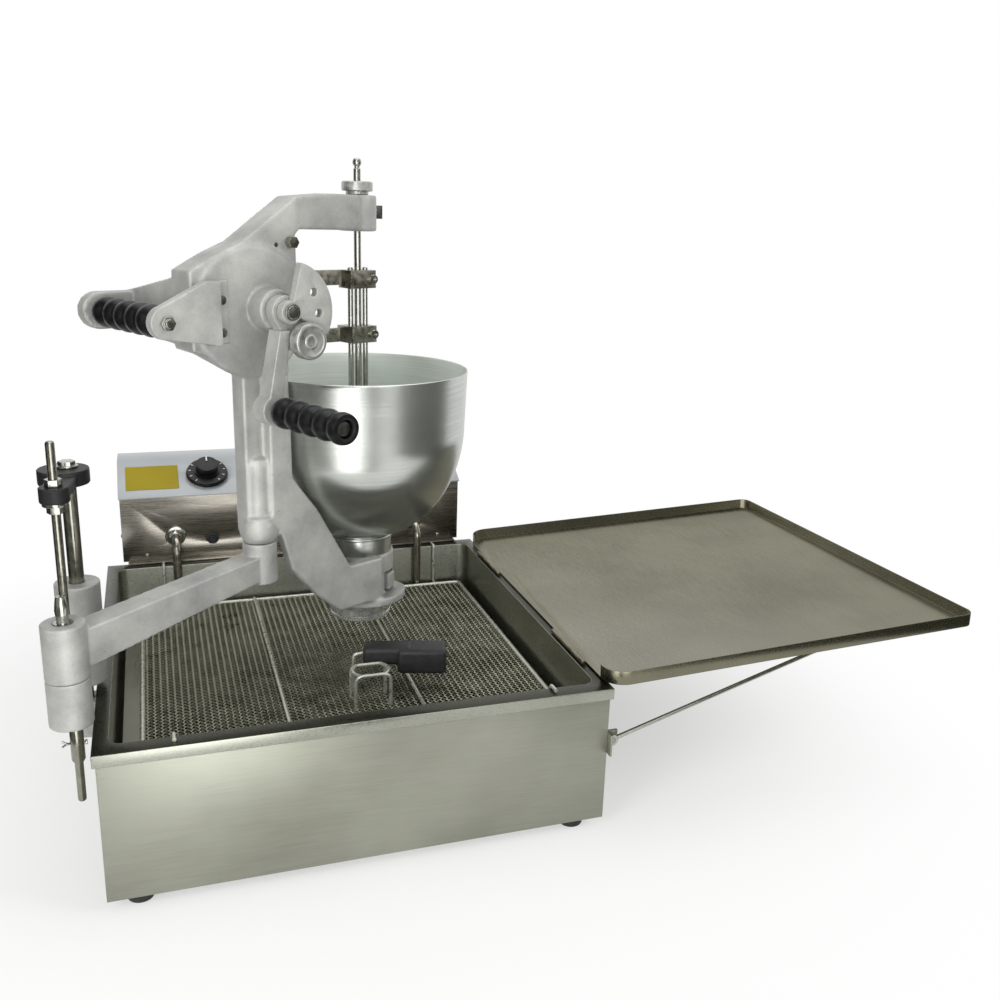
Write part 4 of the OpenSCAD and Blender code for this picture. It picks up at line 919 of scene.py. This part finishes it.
def spun_metal(name, dark, light, inside, rough):
    """Spun aluminium: fine rings run round the axis and stretch the highlights down the wall. The inside is
    painted light: a pale, near-white colour with little metal stands in for the bright reflections seen
    inside the bowl."""
    made, tree = new_finish(name)
    ring_mm = 1.6
    middle = hopper_axis.translation
    place = add(tree, "TexCoord")
    flat = add(tree, "Mapping", {"Vector": (place, "Object"), "Scale": (0.01, 0.01, 1)})
    rings = add(tree, "TexNoise", {"Vector": (flat, "Vector"), "Scale": 1 / (ring_mm * mm), "Detail": 3})
    clouds = add(tree, "TexNoise", {"Vector": (place, "Object"), "Scale": 12, "Detail": 2})
    blend = add(tree, "Math", {0: (rings, "Fac"), 1: 0.5, 2: (clouds, "Fac")}, operation="MULTIPLY_ADD")
    colour = add(tree, "ValToRGB", {"Fac": (blend, "Value")}, stops=[(0.45, dark), (0.95, light)])
    away = {"Vector": (place, "Object"), "Location": (-middle.x, -middle.y, 0), "Scale": (1, 1, 0)}
    out = add(tree, "Mapping", away)
    faces = add(tree, "VectorMath", {0: (place, "Normal"), 1: (out, "Vector")}, operation="DOT_PRODUCT")
    # Painted light: faces that look in towards the axis take the pale inside colour and little metal, for
    # the bright reflections inside the bowl.
    within = add(tree, "Math", {0: (faces, "Value"), 1: 0.0}, operation="LESS_THAN")
    pale = add(tree, "ValToRGB", {"Fac": (blend, "Value")}, stops=[(0.45, inside), (0.95, light)])
    sides = {"Fac": (within, "Value"), "Color1": (colour, "Color"), "Color2": (pale, "Color")}
    both = add(tree, "MixRGB", sides)
    mirror = add(tree, "MapRange", {"Value": (within, "Value"), "To Min": 0.95, "To Max": 0.15})
    around = add(tree, "Tangent", direction_type="RADIAL", axis="Z")
    relief = add(tree, "Bump", {"Height": (rings, "Fac"), "Strength": 0.3, "Distance": 0.08 * mm})
    shader = add(
        tree, "BsdfPrincipled",
        {"Base Color": (both, "Color"), "Metallic": (mirror, "Result"), "Roughness": rough,
         "Anisotropic": 0.75, "Tangent": (around, "Tangent"), "Normal": (relief, "Normal")},
    )
    add(tree, "OutputMaterial", {"Surface": (shader, "BSDF")})
    return made


def bowl(r_start, across, deep, r_end):
    """The bowl's side from the rim down: part of an ellipse."""
    last = math.acos((r_end - r_start) / across)
    return [
        (r_start + across * math.cos(last * i / 24), hopper_top - rim_high - deep * math.sin(last * i / 24))
        for i in range(25)
    ]


spun_aluminium = spun_metal("spun_aluminium", "#b2b5b0", "#d0d3ce", "#ebf4ec", 0.24)
bead = [(122, hopper_top - 1.6), (121.6, hopper_top - 4), (120.7, hopper_top - 30)]
outer = bead + bowl(17, 102.5, bowl_high, 36.5)
neck = [
    (36.5, 255.4), (38.2, 254.8), (38.8, 253.5), (38.2, 252.2), (36.5, 251.6), (36.5, 234.3), (33, 234.3),
    (33, 178.2), (31.5, 178.2),
]
inner = bowl(17, 102.5 - wall, bowl_high - wall, 31.5)
inner.reverse()
rim = [
    (119.2, hopper_top - 30), (120.3, hopper_top - 3), (120.6, hopper_top - 0.4), (121.3, hopper_top),
    (121.9, hopper_top - 0.5),
]
shell = turned(outer + neck + inner + rim, hopper_axis, closed=True, steps=128, smooth=30)
hand_over(joined("spun_hopper", [shell]), "hopper", spun_aluminium)
mouth = turned(
    [(28, 154.6), (34.8, 154.5), (35.4, 155.1), (35.4, 159), (34.8, 159.5), (34.8, 160.3), (35.4, 160.8),
     (35.4, 167.6), (36, 169.4), (36.4, 170.4), (36.4, 177.9), (31.3, 178), (31.3, 196), (28, 196)],
    hopper_axis, closed=True, steps=96,
)
turned_steel = bright_metal("turned_nozzle", "#c4c5c0", "#d6d7d2", 0.26, mirror=0.8)
hand_over(joined("turned_nozzle", [mouth]), "nozzle", turned_steel)

# Crank: a cast lever on a steel shaft, with the grip on a spindle at its end. The cast dose sector limits
# the stroke, and a turned aluminium knob clamps it.
crank_s, crank_z = -6, 428
grip_front = -164.2
edged("crank_shaft", bright_steel, 0.5)
cast("crank_lever", cast_aluminium, 0.7, 4)
# The spindle's steel is dark: partly its own dark colour and partly painted shade, as its visible end sits
# deep in the grip's recess.
dark_steel = bright_metal("dark_steel_with_painted_shade", "#4c4c48", "#5a5a56", 0.35)
edged("grip_spindle", dark_steel, 0.8, 3)
crank_outline = ball_row(grip_front, -math.degrees(math.asin(6 / ball_r)))
face = crank_outline[0][1]
recess = [(4.05, face + 8), (8.2, face + 8), (8.5, face + 0.6), (9.1, face), (12.9, face - 0.1)]
crank_outline = recess + crank_outline
crank_outline.append((4.05, crank_outline[-1][1]))
grip = turned(crank_outline, head @ spot(crank_s, 0, crank_z) @ back, closed=True, smooth=60)
hand_over(joined("ball_grip_crank", [grip]), "crank_grip", bakelite)
edged("dose_sector", cast_aluminium, 0.8, 3)
dose = turned(
    [(0, 29), (3, 29), (3, 40.8), (6, 40.8), (6, 50.6), (16.6, 50.6), (17.5, 51.4), (17.5, 61.6),
     (16.8, 62.8), (15.6, 63.5), (14, 63.4), (13.4, 62.7), (12.6, 62.5), (7.4, 62.2), (6.8, 62.8),
     (5.6, 63.2), (4.4, 62.6), (3.8, 61.4), (0, 61.2)],
    head @ spot(25, 0, 493) @ front, steps=72,
)
turned_aluminium = bright_metal("turned_aluminium", "#a2a39f", "#b2b3af", 0.36, mirror=0.8)
hand_over(joined("turned_dose_knob", [dose]), "dose_knob", turned_aluminium)

# Cams, followers and rods: the upper yoke lifts the cutter's two rods and the lower one the plunger's rod.
# Each yoke is a milled steel bar, slit at its end and clamped by a socket screw.
edged("cutter_cam", bright_steel, 0.3)
edged("plunger_cam", bright_steel, 0.3)
milled = bright_metal("milled_steel", "#928f84", "#a5a296", 0.3)
edged("upper_yoke", milled, 0.8)
edged("lower_yoke", milled, 0.8)
socket = [(0, 0), (5, 0), (5, 3.4), (4.6, 4), (2.6, 4), (2.5, 1.6), (0, 1.6)]
for body, s, z in (("cutter", 170, 541.5), ("plunger", 171, 482)):
    clamp_screw = turned(socket, head @ spot(s, 27, z) @ front, steps=32)
    clamp_screw.name = body + "_clamp_screw"
    fit(clamp_screw, body, bright_steel)
cutter_rod = turned([(0, 216), (3, 216), (3, 553.4), (2.4, 554), (0, 554)], spot(0, 0, 0), steps=32)
rods = set_out(cutter_rod, [head @ spot(s, hopper_n, 0) for s in (147, 167)])
hand_over(joined("cutter_rod_pair", rods), "cutter_rods", bright_steel)
edged("cutter_sleeve", bright_steel, 0.3)
plunger = turned(
    [(0, 166), (3.9, 166), (3.9, 655.4), (3.3, 656), (2.9, 656.6), (2.9, 658), (4, 659), (4.75, 661),
     (4.75, 663), (4, 665), (2.6, 666.3), (0, 666.7)],
    hopper_axis, steps=40,
)
hand_over(joined("plunger_stem", [plunger]), "plunger_rod", bright_steel)
edged("plunger_disc", bright_steel, 0.3)

# Top boss: a turned aluminium collar nut holds the plunger's rod, and a steel screw with a cross bar locks
# it from the side.
collar = turned(
    [(3.95, 629.3), (11.4, 629.3), (12, 629.9), (12, 632.8), (15.6, 633), (16.5, 633.8), (16.5, 641.4),
     (15.8, 642.4), (14.6, 643), (8, 642.8), (7.4, 642), (3.95, 642)],
    hopper_axis, closed=True, steps=72,
)
hand_over(joined("turned_collar", [collar]), "rod_collar", turned_aluminium)
edged("set_screw", bright_steel, 0.6, 3)
